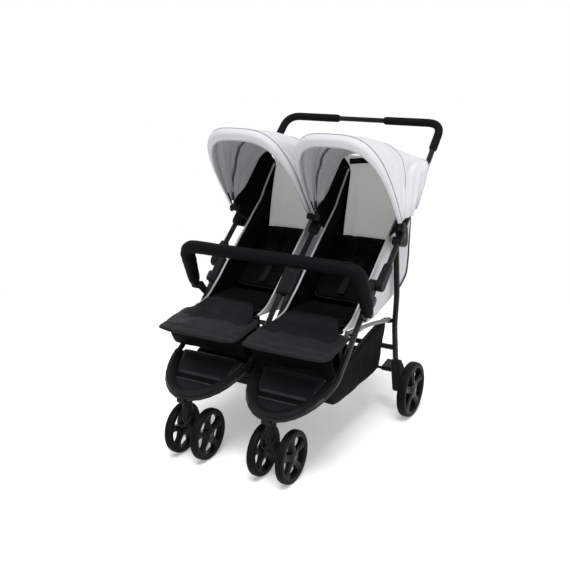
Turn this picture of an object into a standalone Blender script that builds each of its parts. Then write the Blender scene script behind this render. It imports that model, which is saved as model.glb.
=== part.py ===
"""Side-by-side twin stroller, modelled at real size in metres.

+X is the child's left, -Y is the front, +Z is up, and the wheels stand on Z = 0.
Every sub-part is one named object. Side profiles are written as (y, z) pairs.
"""
import bmesh
import bpy
from math import atan2, cos, hypot, pi, radians, sin
from mathutils import Matrix, Vector

# Half the difference between the reach behind Y = 0 and in front of it, taken off every piece
LENGTH_SHIFT = -0.0058

# Clearances
SEAM = 0.0003            # between pieces that touch
RUN = 0.0010             # between pieces that move past each other
PIN_FIT = 0.0005         # round a pivot pin

# Tubes
TUBE_R = 0.0095
LEG_R = 0.0100
CROSS_R = 0.0075
LINK_R = 0.0070
HOOP_R = 0.0030
TUBE_SIDES = 8

# Widths: seat centres, frame tubes and the planes of the folding parts
FRAME_HALF = 0.139       # half the width of one seat's front loop
INNER_X = 0.016          # the inner tubes of the two loops lie this far from the middle
UPPER_OUT = 0.024        # the handle tube lies this far outside the front tube
LINK_IN = 0.023          # the side link lies this far inside the front tube
SEAT_PITCH = 2 * (FRAME_HALF + INNER_X)
LOWER_X = SEAT_PITCH / 2 + FRAME_HALF
UPPER_X = LOWER_X + UPPER_OUT
LINK_X = LOWER_X - LINK_IN

# Side view: pivots and corners of the frame
FOLD = (-0.030, 0.548)
HUB = (0.130, 0.680)
HANDLE = (0.490, 1.017)
LEG_TOP = (0.150, 0.655)
LINK_FRONT = (-0.165, 0.417)
LINK_REAR = (0.166, 0.365)
CANOPY = (0.107, 0.716)
BEND = (-0.277, 0.308)
LOOP_START = (-0.286, 0.304)
LOOP_DEPTH = 0.180
HANDLE_HALF = UPPER_X - 0.003
HANDLE_BEND = 0.055
LEG_KNEE = (0.176, 0.455)
LEG_WAIST = (0.166, 0.350)
LEG_FOOT = (0.196, 0.170)
REAR_CROSS_Z = 0.262

# Wheels
WHEEL_STEPS = 20
FRONT_R = 0.086
FRONT_W = 0.026
FRONT_TRACK = 0.050
FRONT_AXLE_R = 0.004
CASTOR_Y = LOOP_START[0] - LOOP_DEPTH + 0.021
TRAIL = 0.038
REAR_R = 0.101
REAR_W = 0.032
REAR_X = LOWER_X + 0.050
REAR_Y = 0.220
REAR_AXLE_R = 0.006
SPOKES = 5

# Castor housing
SOCKET_R = 0.018
SOCKET_LOW = 0.192
SOCKET_HIGH = 0.222
STEM_R = 0.006
STEM_RISE = 0.022
FORK_HALF = 0.014
LOCK_PIVOT = (-0.452, 0.160)

# Fold joints, hubs and latch
KNUCKLE_R = 0.0175
KNUCKLE_REACH = 0.078
KNUCKLE_IN = 0.0155
KNUCKLE_OUT = 0.0115
PIVOT_R = 0.006
FOLDED_LEAN = -98.5      # where the centre tube points when the frame is folded
TUBE_STOP = 0.026        # tube ends stay this far from the fold pivot
UPPER_REACH = 0.072
MID_HALF = 0.030
MID_EYE = 0.0060
HUB_R = 0.0185
HUB_REACH = 0.022
HUB_W = 0.024
LATCH_NEAR = 0.054
LATCH_FAR = 0.071
LATCH_R = 0.0115
LATCH_W = 0.014

# Bumper bar
BUMPER_PIVOT = (-0.140, 0.487)
BUMPER_TOP = (-0.205, 0.641)
BUMPER_HALF = LOWER_X + 0.036
BUMPER_TOP_HALF = BUMPER_HALF - 0.013
BUMPER_R = 0.020
BUMPER_BEND = 0.060
BUMPER_SOCKET_R = 0.015

# Grips
GRIP_R = 0.0145
GRIP_INNER_X = 0.095
GRIP_DROP = 0.120

# Seats
SHELL_HALF = FRAME_HALF - 0.020
CLOTH = 0.003
PAD_HALF = SHELL_HALF - 0.011
PAD_FRONT = -0.203
PAD_BACK = -0.016
PAD_LOW = 0.4385
PAD_THICK = 0.028
BACK_HINGE = (0.004, 0.456)
BACK_TOP = (0.256, 0.6266)
BACK_HALF = SHELL_HALF - 0.014
BACK_THICK = 0.034
CROSS = (-0.245, 0.404)
REST_HALF = FRAME_HALF + 0.011
REST_X = REST_HALF + 0.010
REST_LENGTH = 0.172
REST_BACK = 0.026
REST_THICK = 0.026
REST_TILT = 8
STRAP_HALF = 0.045
STRAP_W = 0.026
STRAP_THICK = 0.003
BUCKLE_W = 0.050

# Basket
BASKET_HALF = LOWER_X - 0.036
BASKET_LOW_HALF = BASKET_HALF - 0.006

# Canopies
HOOP_FRONT_DEG = 121.0
HOOP_MIDDLE_DEG = 103.8
HOOP_FRONT_REACH = 0.351
HOOP_MIDDLE_REACH = 0.8405 * HOOP_FRONT_REACH
EYE_R = 0.0115
EYE_W = 0.006
CANOPY_X = (UPPER_X + 0.021) / 2
CANOPY_HALF = CANOPY_X - 0.003
CANOPY_LOW = 0.024
CANOPY_SPAN = HOOP_FRONT_REACH / 0.351   # the hood's ridge grows with the front hoop
EYE_FRONT = CANOPY_HALF - 0.0065
EYE_MIDDLE = EYE_FRONT - 0.0075

SIDES = (("left", -1), ("right", 1))
FRONT_AXLE_Z = FRONT_R * cos(pi / WHEEL_STEPS)
REAR_AXLE_Z = REAR_R * cos(pi / WHEEL_STEPS)
AXLE_Y = CASTOR_Y + TRAIL


# Small geometry helpers
def along(a, b, distance):
    """The point at a distance from a towards b, in the side view."""
    span = hypot(b[0] - a[0], b[1] - a[1])
    return (a[0] + (b[0] - a[0]) * distance / span, a[1] + (b[1] - a[1]) * distance / span)


def polar(centre, degrees_up, reach):
    return (centre[0] + reach * cos(radians(degrees_up)), centre[1] + reach * sin(radians(degrees_up)))


def at(x, point):
    return Vector((x, point[0], point[1]))


def rounded(points, radius, steps=6):
    """A path with each inner corner turned into an arc of the given radius."""
    path = [points[0]]
    for before, corner, after in zip(points, points[1:], points[2:]):
        into, out = (corner - before).normalized(), (after - corner).normalized()
        turn = into.angle(out)
        cut = radius * abs(sin(turn / 2) / cos(turn / 2))
        start, end = corner - into * cut, corner + out * cut
        for i in range(steps + 1):
            t = i / steps
            path.append(start.lerp(corner, t).lerp(corner.lerp(end, t), t))
    path.append(points[-1])
    return path


def smooth(points, per_span=4):
    """A curve through every point, its slope taken from the points on each side."""
    path = []
    last = len(points) - 1
    for i in range(last):
        p0, p1 = points[max(i - 1, 0)], points[i]
        p2, p3 = points[i + 1], points[min(i + 2, last)]
        for step in range(per_span):
            t = step / per_span
            path.append(0.5 * (2 * p1 + (p2 - p0) * t + (2 * p0 - 5 * p1 + 4 * p2 - p3) * t ** 2
                               + (3 * p1 - p0 - 3 * p2 + p3) * t ** 3))
    path.append(points[last])
    return path


def circle_hull(circles, steps=14):
    """The outline that a belt round these (y, z, radius) circles would take."""
    points = []
    for y, z, radius in circles:
        for i in range(steps):
            turn = 2 * pi * i / steps
            points.append((y + radius * cos(turn), z + radius * sin(turn)))
    points.sort()

    def half(ordered):
        chain = []
        for p in ordered:
            while len(chain) > 1:
                a, b = chain[-2], chain[-1]
                if (b[0] - a[0]) * (p[1] - a[1]) - (b[1] - a[1]) * (p[0] - a[0]) > 1e-10:
                    break
                chain.pop()
            chain.append(p)
        return chain[:-1]

    return half(points) + half(points[::-1])


# Building and joining objects
def material(name, colour, roughness, metallic=0.0):
    mat = bpy.data.materials.new(name)
    mat.use_nodes = True
    shader = mat.node_tree.nodes["Principled BSDF"]
    shader.inputs["Base Color"].default_value = (*colour, 1.0)
    shader.inputs["Roughness"].default_value = roughness
    shader.inputs["Metallic"].default_value = metallic
    return mat


def place(bm, name, mat=None, origin=None, sharp=40):
    """Turn a bmesh in world space into an object whose origin is at the given point."""
    origin = Vector(origin) if origin is not None else Vector((0, 0, 0))
    bmesh.ops.recalc_face_normals(bm, faces=bm.faces)
    bmesh.ops.translate(bm, verts=bm.verts, vec=-origin)
    mesh = bpy.data.meshes.new(name)
    bm.to_mesh(mesh)
    bm.free()
    mesh.shade_smooth()
    mesh.set_sharp_from_angle(angle=radians(sharp))
    obj = bpy.data.objects.new(name, mesh)
    obj.location = origin
    bpy.context.scene.collection.objects.link(obj)
    if mat:
        mesh.materials.append(mat)
    return obj


def helper(obj):
    """Mark an object that only cuts or joins another one."""
    obj.hide_render = True
    obj.display_type = "WIRE"
    return obj


def combine(target, other, operation):
    helper(other)
    mod = target.modifiers.new(operation.title(), "BOOLEAN")
    mod.operation = operation
    mod.object = other
    mod.solver = "EXACT"
    return target


def fuse(target, *others):
    for other in others:
        combine(target, other, "UNION")
    return target


def cut(target, *others):
    for other in others:
        combine(target, other, "DIFFERENCE")
    return target


def soften(obj, width, segments=2):
    mod = obj.modifiers.new("Edges", "BEVEL")
    mod.width = width
    mod.segments = segments
    mod.limit_method = "ANGLE"
    mod.angle_limit = radians(40)
    return obj


def bridge_rings(bm, rings, closed=False):
    """Join rings of equal length with quads, and cap the first and last if not closed."""
    count = len(rings[0])
    pairs = list(zip(rings, rings[1:]))
    if closed:
        pairs.append((rings[-1], rings[0]))
    for a, b in pairs:
        for i in range(count):
            j = (i + 1) % count
            bm.faces.new((a[i], a[j], b[j], b[i]))
    if not closed:
        bm.faces.new(rings[0][::-1])
        bm.faces.new(rings[-1])


def frames(path):
    """A tangent and two side directions at each point, turned as little as possible."""
    tangents = []
    for i, point in enumerate(path):
        before, after = path[max(i - 1, 0)], path[min(i + 1, len(path) - 1)]
        tangents.append((after - before).normalized())
    side = tangents[0].orthogonal().normalized()
    if abs(tangents[0].x) < 0.9:
        side = (Vector((1, 0, 0)) - tangents[0] * tangents[0].x).normalized()
    result = []
    for tangent in tangents:
        side = (side - tangent * side.dot(tangent)).normalized()
        result.append((tangent, side, tangent.cross(side).normalized()))
    return result


def tube(name, path, radius, mat=None, sides=TUBE_SIDES, flat=1.0, bore=None, origin=None):
    """A round bar or pipe along a path; radius may be one value or one per point."""
    radii = radius if isinstance(radius, (list, tuple)) else [radius] * len(path)
    bm = bmesh.new()
    walls = []
    for wall in ([radii] if bore is None else [radii, [bore] * len(path)]):
        rings = []
        for point, size, (_, side, up) in zip(path, wall, frames(path)):
            ring = []
            for i in range(sides):
                turn = 2 * pi * (i + 0.5) / sides
                ring.append(bm.verts.new(point + side * (size * cos(turn)) + up * (size * flat * sin(turn))))
            rings.append(ring)
        walls.append(rings)
    if bore is None:
        bridge_rings(bm, walls[0])
    else:
        bridge_rings(bm, walls[0] + walls[1][::-1], closed=True)
    return place(bm, name, mat, origin)


def rod(name, start, end, radius, mat=None, sides=12):
    return tube(name, [Vector(start), Vector(end)], radius, mat, sides)


def prism(name, outline, x_low, x_high, mat=None, origin=None):
    """A side-view outline given a thickness along X."""
    bm = bmesh.new()
    rings = [[bm.verts.new((x, y, z)) for y, z in outline] for x in sorted((x_low, x_high))]
    bridge_rings(bm, rings)
    return place(bm, name, mat, origin)


def spun(name, profile, centre, axis, steps, mat=None, first=0.5):
    """A turned solid: profile is (distance along the axis, radius), from axis to axis."""
    axis = Vector(axis).normalized()
    side = Vector((0, 0, -1)) if abs(axis.z) < 0.5 else Vector((1, 0, 0))
    other = axis.cross(side)
    bm = bmesh.new()
    rings = []
    for distance, radius in profile[1:-1]:
        ring = []
        for i in range(steps):
            turn = 2 * pi * (i + first) / steps
            ring.append(bm.verts.new(Vector(centre) + axis * distance
                                     + (side * cos(turn) + other * sin(turn)) * radius))
        rings.append(ring)
    for a, b in zip(rings, rings[1:]):
        for i in range(steps):
            j = (i + 1) % steps
            bm.faces.new((a[i], a[j], b[j], b[i]))
    for ring, (distance, _) in ((rings[0], profile[0]), (rings[-1], profile[-1])):
        tip = bm.verts.new(Vector(centre) + axis * distance)
        for i in range(steps):
            bm.faces.new((ring[i], ring[(i + 1) % steps], tip))
    return place(bm, name, mat, centre)


def sheet_solid(name, grid, inner, mat):
    """A thin closed solid between two grids of points of the same size."""
    bm = bmesh.new()
    outer_v = [[bm.verts.new(p) for p in row] for row in grid]
    inner_v = [[bm.verts.new(p) for p in row] for row in inner]
    rows, cols = len(grid), len(grid[0])
    for r in range(rows - 1):
        for c in range(cols - 1):
            bm.faces.new((outer_v[r][c], outer_v[r][c + 1], outer_v[r + 1][c + 1], outer_v[r + 1][c]))
            bm.faces.new((inner_v[r][c], inner_v[r + 1][c], inner_v[r + 1][c + 1], inner_v[r][c + 1]))
    edge = [(0, c) for c in range(cols)] + [(r, cols - 1) for r in range(1, rows)]
    edge += [(rows - 1, c) for c in range(cols - 2, -1, -1)] + [(r, 0) for r in range(rows - 2, 0, -1)]
    for (r0, c0), (r1, c1) in zip(edge, edge[1:] + edge[:1]):
        bm.faces.new((outer_v[r0][c0], inner_v[r0][c0], inner_v[r1][c1], outer_v[r1][c1]))
    return place(bm, name, mat, sharp=60)


# Materials
def make_materials():
    return {
        "frame": material("frame_paint", (0.045, 0.048, 0.052), 0.38, 0.6),
        "link": material("link_grey", (0.42, 0.43, 0.44), 0.40, 0.6),
        "plastic": material("black_plastic", (0.022, 0.023, 0.025), 0.50),
        "button": material("grey_plastic", (0.16, 0.18, 0.19), 0.45),
        "tyre": material("wheel_black", (0.018, 0.018, 0.019), 0.75),
        "foam": material("foam_grip", (0.035, 0.038, 0.040), 0.85),
        "shell": material("pale_grey_cloth", (0.66, 0.67, 0.71), 0.90),
        "canopy": material("canopy_cloth", (0.78, 0.78, 0.83), 0.90),
        "black": material("black_cloth", (0.012, 0.013, 0.014), 0.92),
        "charcoal": material("charcoal_cloth", (0.045, 0.055, 0.060), 0.80),
        "hoop": material("hoop_plastic", (0.06, 0.06, 0.065), 0.60),
    }


# Front frame: one loop of tube round each footrest
def loop_point(x_share, scale_out=0.0):
    """A point on the nose of a front loop, given its angle from one side to the other."""
    half, depth = FRAME_HALF + scale_out, LOOP_DEPTH + scale_out
    return (half * sin(x_share), LOOP_START[0] - depth * cos(x_share))


def loop_slope():
    return (BEND[1] - LOOP_START[1]) / (BEND[0] - LOOP_START[0])


def loop_z(y):
    return LOOP_START[1] + loop_slope() * (y - LOOP_START[0])


def front_tube(side, s, mats):
    centre = s * SEAT_PITCH / 2
    top = along(FOLD, BEND, TUBE_STOP)
    outer_x, inner_x = centre + s * FRAME_HALF, centre - s * FRAME_HALF
    # the arc runs on past the start of the loop, so the path goes from its end to the nose
    leg = rounded([at(FRAME_HALF, top), at(FRAME_HALF, BEND), at(FRAME_HALF, LOOP_START)], 0.150, 5)[:-1]
    nose = []
    turns = 16
    for i in range(1, turns):
        x, y = loop_point(pi / 2 - pi * i / turns)
        nose.append(Vector((x, y, loop_z(y))))
    mirrored = [Vector((-p.x, p.y, p.z)) for p in leg[::-1]]
    path = [Vector((centre + s * p.x, p.y, p.z)) for p in leg + nose + mirrored]
    obj = tube(f"front_tube_{side}", path, TUBE_R, mats["frame"])
    pin = rod(f"link_pin_{side}", at(outer_x, LINK_FRONT), at(s * (LINK_X - 0.008), LINK_FRONT), 0.004, sides=8)
    return fuse(obj, pin)


def footrest(side, s, mats):
    """A moulded tray that clips over the nose of the loop, with a rim, a floor and a kick ridge."""
    centre = s * SEAT_PITCH / 2
    slope = loop_slope()
    up = Vector((0, -slope, 1)).normalized()
    # each pair is the offset outward from the tube's centre line and the height above its plane
    section = [(-0.034, -0.006), (-0.027, 0.011), (-0.011, 0.0165), (0.002, 0.0160), (0.0040, 0.0110),
               (-0.0040, 0.0110), (-0.0110, 0.0040), (-0.0130, -0.0100), (-0.034, -0.0100)]
    bm = bmesh.new()
    rings = []
    turns = 20
    for i in range(turns + 1):
        angle = (pi / 2) * 0.94 * (1 - 2 * i / turns)
        x, y = loop_point(angle)
        outward = Vector((sin(angle) / FRAME_HALF, -cos(angle) / LOOP_DEPTH, 0))
        outward.z = slope * outward.y
        outward.normalize()
        base = Vector((centre + x, y, loop_z(y)))
        rings.append([bm.verts.new(base + outward * d + up * h) for d, h in section])
    count = len(section)
    for a, b in zip(rings, rings[1:]):
        for i in range(count - 1):
            bm.faces.new((a[i], a[i + 1], b[i + 1], b[i]))
    bm.faces.new([ring[0] for ring in rings])
    bm.faces.new([ring[-1] for ring in rings[::-1]])
    # the back edge joins the two ends of the sweep through the floor
    bm.faces.new(rings[0][::-1])
    bm.faces.new(rings[-1])
    bm.faces.new((rings[0][0], rings[-1][0], rings[-1][-1], rings[0][-1]))
    obj = place(bm, f"footrest_{side}", mats["plastic"])
    back, front = LOOP_START[0] - 0.028, LOOP_START[0] - 0.092
    outline = [(back, loop_z(back) + 0.012), (back - 0.004, loop_z(back) + 0.015), (front, loop_z(front) - 0.001),
               (front - 0.030, loop_z(front - 0.030) - 0.005), (front - 0.030, loop_z(front - 0.030) - 0.009),
               (front, loop_z(front) - 0.009), (back, loop_z(back) - 0.009)]
    half = FRAME_HALF - 0.048
    panel = prism(f"tray_panel_{side}", outline, centre - half, centre + half)
    return fuse(obj, panel)


def castor_socket(side, s, mats):
    """The swivel bearing, with an arm that wraps the underside of the loop's nose."""
    centre = s * SEAT_PITCH / 2
    profile = [(SOCKET_HIGH, 0), (SOCKET_HIGH, SOCKET_R - 0.004), (SOCKET_HIGH - 0.004, SOCKET_R),
               (SOCKET_LOW, SOCKET_R - 0.001), (SOCKET_LOW, 0)]
    obj = spun(f"castor_socket_{side}", profile, (centre, CASTOR_Y, 0), (0, 0, 1), 18, mats["plastic"])
    nose_y = LOOP_START[0] - LOOP_DEPTH
    nose_z = loop_z(nose_y)
    arm = prism(f"socket_arm_{side}", circle_hull([(CASTOR_Y, SOCKET_LOW + 0.014, 0.011),
                                                   (nose_y - 0.003, nose_z - 0.007, 0.0115)], 14),
                centre - 0.014, centre + 0.014)
    saddle = rod(f"socket_saddle_{side}", (centre - 0.03, nose_y, nose_z), (centre + 0.03, nose_y, nose_z),
                 TUBE_R + 0.0020, sides=14)
    tray = prism(f"socket_tray_room_{side}",
                 circle_hull([(nose_y + 0.020, nose_z + 0.004, 0.010), (nose_y + 0.050, nose_z + 0.016, 0.010)], 12),
                 centre - 0.03, centre + 0.03)
    bore = rod(f"socket_bore_{side}", (centre, CASTOR_Y, SOCKET_LOW - 0.01),
               (centre, CASTOR_Y, SOCKET_LOW + STEM_RISE + 0.001), STEM_R + PIN_FIT, sides=16)
    return cut(fuse(obj, arm), saddle, tray, bore)


# Castors
def castor_fork(side, s, mats):
    centre = s * SEAT_PITCH / 2
    top = SOCKET_LOW - RUN
    outline = circle_hull([(CASTOR_Y, top - 0.020, 0.0165), (CASTOR_Y + 0.004, 0.140, 0.017),
                           (AXLE_Y, FRONT_AXLE_Z, 0.016)])
    obj = soften(prism(f"castor_fork_{side}", outline, centre - FORK_HALF, centre + FORK_HALF, mats["plastic"],
                       origin=(centre, CASTOR_Y, FRONT_AXLE_Z)), 0.004, 1)
    collar = rod(f"fork_collar_{side}", (centre, CASTOR_Y, top - 0.026), (centre, CASTOR_Y, top), 0.0165, sides=18)
    stem = rod(f"fork_stem_{side}", (centre, CASTOR_Y, top - 0.010),
               (centre, CASTOR_Y, SOCKET_LOW + STEM_RISE), STEM_R, sides=10)
    reach = FRONT_TRACK + FRONT_W * 0.30
    axle = rod(f"fork_axle_{side}", (centre - reach, AXLE_Y, FRONT_AXLE_Z), (centre + reach, AXLE_Y, FRONT_AXLE_Z),
               FRONT_AXLE_R, sides=10)
    return fuse(obj, collar, stem, axle)


def swivel_lock(side, s, mats):
    """The foot lever that locks a castor straight ahead, a bail round the front of the fork."""
    centre = s * SEAT_PITCH / 2
    y, z = LOCK_PIVOT
    half = FORK_HALF + 0.005
    points = [Vector((centre - half, y, z)), Vector((centre - half, y - 0.016, z - 0.014)),
              Vector((centre - 0.010, y - 0.027, z - 0.026)), Vector((centre + 0.010, y - 0.027, z - 0.026)),
              Vector((centre + half, y - 0.016, z - 0.014)), Vector((centre + half, y, z))]
    return tube(f"swivel_lock_{side}", smooth(points, 4), 0.0038, mats["button"], 8, 0.8, origin=(centre, y, z))


def wheel(name, centre, outward, radius, width, axle_r, mat):
    """A wheel with a flat tread, a dished web and five openings between its spokes.

    The bore is blind: it opens towards the fork or leg, and the outer face is closed.
    """
    half = width / 2
    rim = radius - 0.022
    hub = axle_r + 0.012
    bore = axle_r + PIN_FIT
    face = half * 0.60
    profile = [(half * 0.85, 0), (half * 0.85, hub - 0.003), (face * 0.75, hub + 0.002), (face * 0.55, rim - 0.003),
               (half * 0.85, rim + 0.002), (half, radius - 0.009), (half * 0.55, radius), (-half * 0.55, radius),
               (-half, radius - 0.009), (-face * 0.7, rim - 0.002), (-half, hub), (-half, bore),
               (half * 0.66, bore), (half * 0.66, 0)]
    obj = spun(name, profile, centre, (outward, 0, 0), WHEEL_STEPS, mat)
    inner, outer = hub + 0.005, rim - 0.006
    for k in range(SPOKES):
        middle = 2 * pi * k / SPOKES + pi / 2
        spread_out = pi / SPOKES - 0.011 / outer
        spread_in = pi / SPOKES - 0.0085 / inner
        ring = []
        for i in range(4):
            turn = middle - spread_out + 2 * spread_out * i / 3
            ring.append((outer * cos(turn), outer * sin(turn)))
        for turn in (middle + spread_in, middle - spread_in):
            ring.append((inner * cos(turn), inner * sin(turn)))
        window = prism(f"{name}_window_{k}", [(centre[1] + y, centre[2] + z) for y, z in ring],
                       centre[0] - width, centre[0] + width)
        cut(obj, window)
    return obj


def front_wheels(side, s, mats):
    centre = s * SEAT_PITCH / 2
    for place_name, t in (("outer", s), ("inner", -s)):
        wheel(f"front_wheel_{side}_{place_name}", (centre + t * FRONT_TRACK, AXLE_Y, FRONT_AXLE_Z), t,
              FRONT_R, FRONT_W, FRONT_AXLE_R, mats["tyre"])


# Fold joints
def knuckle_lower(side, s, mats):
    end = along(FOLD, BEND, KNUCKLE_REACH)
    outline = circle_hull([(*FOLD, KNUCKLE_R), (*end, KNUCKLE_R - 0.002)])
    obj = soften(prism(f"knuckle_lower_{side}", outline, s * (LOWER_X - KNUCKLE_IN), s * (LOWER_X + KNUCKLE_OUT),
                       mats["plastic"]), 0.003, 1)
    pin = rod(f"fold_pin_{side}", at(s * LOWER_X, FOLD), at(s * (UPPER_X + 0.002), FOLD), PIVOT_R)
    bore = rod(f"knuckle_bore_{side}", at(s * LOWER_X, along(FOLD, BEND, TUBE_STOP - SEAM)),
               at(s * LOWER_X, along(FOLD, BEND, KNUCKLE_REACH + 0.05)), TUBE_R + SEAM, sides=TUBE_SIDES)
    return cut(fuse(obj, pin), bore)


def knuckle_upper(side, s, mats):
    end = along(FOLD, HUB, UPPER_REACH)
    outline = circle_hull([(*FOLD, KNUCKLE_R + 0.002), (*end, KNUCKLE_R - 0.002)])
    low, high = LOWER_X + KNUCKLE_OUT + RUN, UPPER_X + 0.0125
    obj = soften(prism(f"knuckle_upper_{side}", outline, s * low, s * high, mats["plastic"],
                       origin=at(s * UPPER_X, FOLD)), 0.003, 1)
    hole = rod(f"fold_hole_{side}", at(s * (low - 0.01), FOLD), at(s * (UPPER_X + 0.003), FOLD), PIVOT_R + PIN_FIT)
    bore = rod(f"upper_bore_{side}", at(s * UPPER_X, along(FOLD, HUB, TUBE_STOP - SEAM)),
               at(s * UPPER_X, along(FOLD, HUB, UPPER_REACH + 0.05)), TUBE_R + SEAM, sides=TUBE_SIDES)
    return cut(obj, hole, bore)


def fold_latch(side, s, mats):
    """The sliding button below each outer fold joint."""
    low, high = along(FOLD, BEND, LATCH_FAR), along(FOLD, BEND, LATCH_NEAR)
    outline = circle_hull([(*low, LATCH_R), (*high, LATCH_R)], 16)
    inner = LOWER_X + KNUCKLE_OUT + RUN
    return soften(prism(f"fold_latch_{side}", outline, s * inner, s * (inner + LATCH_W), mats["button"],
                        origin=at(s * inner, high)), 0.003, 1)


def middle_joint(mats):
    """The centre fold joint: one housing takes both inner front tubes and the single centre tube folds in it."""
    end = along(FOLD, BEND, KNUCKLE_REACH)
    outline = circle_hull([(*FOLD, KNUCKLE_R), (*end, KNUCKLE_R - 0.002)])
    lower = soften(prism("knuckle_lower_middle", outline, -MID_HALF, MID_HALF, mats["plastic"]), 0.003, 1)
    swept = [(*FOLD, KNUCKLE_R + RUN), (*along(FOLD, HUB, 0.10), 0.04), (*polar(FOLD, -30, 0.10), 0.02),
             (*polar(FOLD, FOLDED_LEAN, 0.10), 0.0140)]
    slot = prism("middle_slot", circle_hull(swept), -MID_EYE - RUN, MID_EYE + RUN)
    park = prism("middle_tube_room", circle_hull([(*polar(FOLD, FOLDED_LEAN, 0.030), TUBE_R + RUN),
                                                  (*polar(FOLD, FOLDED_LEAN, 0.10), TUBE_R + RUN),
                                                  (*polar(FOLD, -30, 0.10), 0.02)]), -TUBE_R - RUN, TUBE_R + RUN)
    pin = rod("middle_pin", at(-MID_HALF + 0.004, FOLD), at(MID_HALF - 0.004, FOLD), PIVOT_R)
    cut(lower, slot, park)
    fuse(lower, pin)
    for name, s in SIDES:
        bore = rod(f"middle_bore_{name}", at(s * INNER_X, along(FOLD, BEND, TUBE_STOP - SEAM)),
                   at(s * INNER_X, along(FOLD, BEND, KNUCKLE_REACH + 0.05)), TUBE_R + SEAM, sides=TUBE_SIDES)
        cut(lower, bore)
    eye = prism("middle_upper_tube", circle_hull([(*FOLD, KNUCKLE_R), (*along(FOLD, HUB, 0.045), 0.0125)]),
                -MID_EYE, MID_EYE, mats["frame"], origin=at(0, FOLD))
    shaft = rod("middle_shaft", at(0, along(FOLD, HUB, 0.030)), at(0, along(FOLD, HUB, 0.238)), TUBE_R, sides=TUBE_SIDES)
    hole = rod("middle_hole", at(-0.02, FOLD), at(0.02, FOLD), PIVOT_R + PIN_FIT)
    cut(fuse(eye, shaft), hole)


# Hubs
def hub(side, s, mats):
    low, high = LOWER_X + KNUCKLE_OUT + RUN, LOWER_X + KNUCKLE_OUT + RUN + HUB_W
    a, b = along(HUB, FOLD, HUB_REACH), along(HUB, HANDLE, HUB_REACH)
    outline = circle_hull([(*a, HUB_R - 0.003), (*b, HUB_R - 0.001), (*LEG_TOP, 0.017)])
    obj = soften(prism(f"hub_{side}", outline, s * low, s * high, mats["plastic"], origin=at(s * UPPER_X, HUB)), 0.003, 1)
    fork = prism(f"canopy_fork_{side}", circle_hull([(*HUB, 0.014), (*CANOPY, 0.0105)]), s * low, s * (low + 0.009))
    pin = rod(f"canopy_pin_{side}", at(s * (low + 0.004), CANOPY),
              at(s * (CANOPY_X + EYE_FRONT + EYE_W / 2), CANOPY), 0.004, sides=8)
    bore = rod(f"hub_bore_{side}", at(s * UPPER_X, along(HUB, FOLD, 0.10)), at(s * UPPER_X, along(HUB, FOLD, -0.006)),
               TUBE_R + 0.0008, sides=14)
    bore_up = rod(f"hub_bore_up_{side}", at(s * UPPER_X, along(HUB, HANDLE, -0.006)),
                  at(s * UPPER_X, along(HUB, HANDLE, 0.10)), TUBE_R + 0.0008, sides=14)
    hole = rod(f"leg_hole_{side}", at(s * (low - 0.01), LEG_TOP), at(s * (low + 0.016), LEG_TOP), 0.005 + PIN_FIT)
    return cut(fuse(obj, fork, pin), bore, bore_up, hole)


def hub_middle(mats):
    a, b = along(HUB, FOLD, HUB_REACH), along(HUB, HANDLE, HUB_REACH)
    outline = circle_hull([(*a, HUB_R - 0.003), (*b, HUB_R - 0.003)])
    obj = soften(prism("hub_middle", outline, -0.0145, 0.0145, mats["plastic"], origin=at(0, HUB)), 0.003, 1)
    fin = prism("middle_fin", circle_hull([(*HUB, 0.014), (*CANOPY, 0.0105)]), -0.0045, 0.0045)
    reach = CANOPY_X - EYE_MIDDLE + EYE_W / 2
    pin = rod("middle_canopy_pin", at(-reach, CANOPY), at(reach, CANOPY), 0.004, sides=8)
    bore = rod("middle_hub_bore", at(0, along(HUB, FOLD, 0.10)), at(0, along(HUB, FOLD, -0.060)), TUBE_R + SEAM,
               sides=TUBE_SIDES)
    return cut(fuse(obj, fin, pin), bore)


# Handle
def handle_path():
    low = along(FOLD, HUB, TUBE_STOP)
    points = [at(UPPER_X, low), at(UPPER_X, HUB), at(HANDLE_HALF, HANDLE)]
    side = rounded(points, 0.30, 3)
    corner = rounded([side[-2], side[-1], at(0, HANDLE)], HANDLE_BEND, 7)
    half = side[:-2] + corner
    return half[:-1] + [at(0, HANDLE)] + [Vector((-p.x, p.y, p.z)) for p in half[-2::-1]]


def handle(mats):
    tube("handle_tube", handle_path(), TUBE_R, mats["frame"])


def grip(side, s, mats):
    """Foam sleeve from the crossbar round the corner and down the side."""
    start = at(s * GRIP_INNER_X, HANDLE)
    drop = along(HANDLE, HUB, GRIP_DROP)
    lean = (UPPER_X - HANDLE_HALF) * GRIP_DROP / hypot(HANDLE[0] - HUB[0], HANDLE[1] - HUB[1])
    end = at(s * (HANDLE_HALF + lean), drop)
    path = rounded([start, at(s * HANDLE_HALF, HANDLE), end], HANDLE_BEND, 7)
    return tube(f"grip_{side}", path, GRIP_R, mats["foam"], 10, bore=TUBE_R + 0.0008)


# Rear frame
def rear_leg(side, s, mats):
    foot = at(s * LOWER_X, LEG_FOOT)
    points = [at(s * LOWER_X, LEG_TOP), at(s * LOWER_X, LEG_KNEE), at(s * LOWER_X, LEG_WAIST), foot]
    obj = tube(f"rear_leg_{side}", rounded(points, 0.20, 4), LEG_R, mats["frame"])
    face = LOWER_X + KNUCKLE_OUT
    eye = rod(f"leg_eye_{side}", at(s * (LOWER_X - 0.010), LEG_TOP), at(s * face, LEG_TOP), 0.0155, sides=16)
    pin = rod(f"leg_pin_{side}", at(s * LOWER_X, LEG_TOP), at(s * (face + RUN + 0.015), LEG_TOP), 0.005, sides=12)
    boss = rod(f"link_boss_{side}", at(s * LOWER_X, LINK_REAR), at(s * (LINK_X + 0.0085), LINK_REAR), 0.007, sides=10)
    return fuse(obj, eye, pin, boss)


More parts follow.
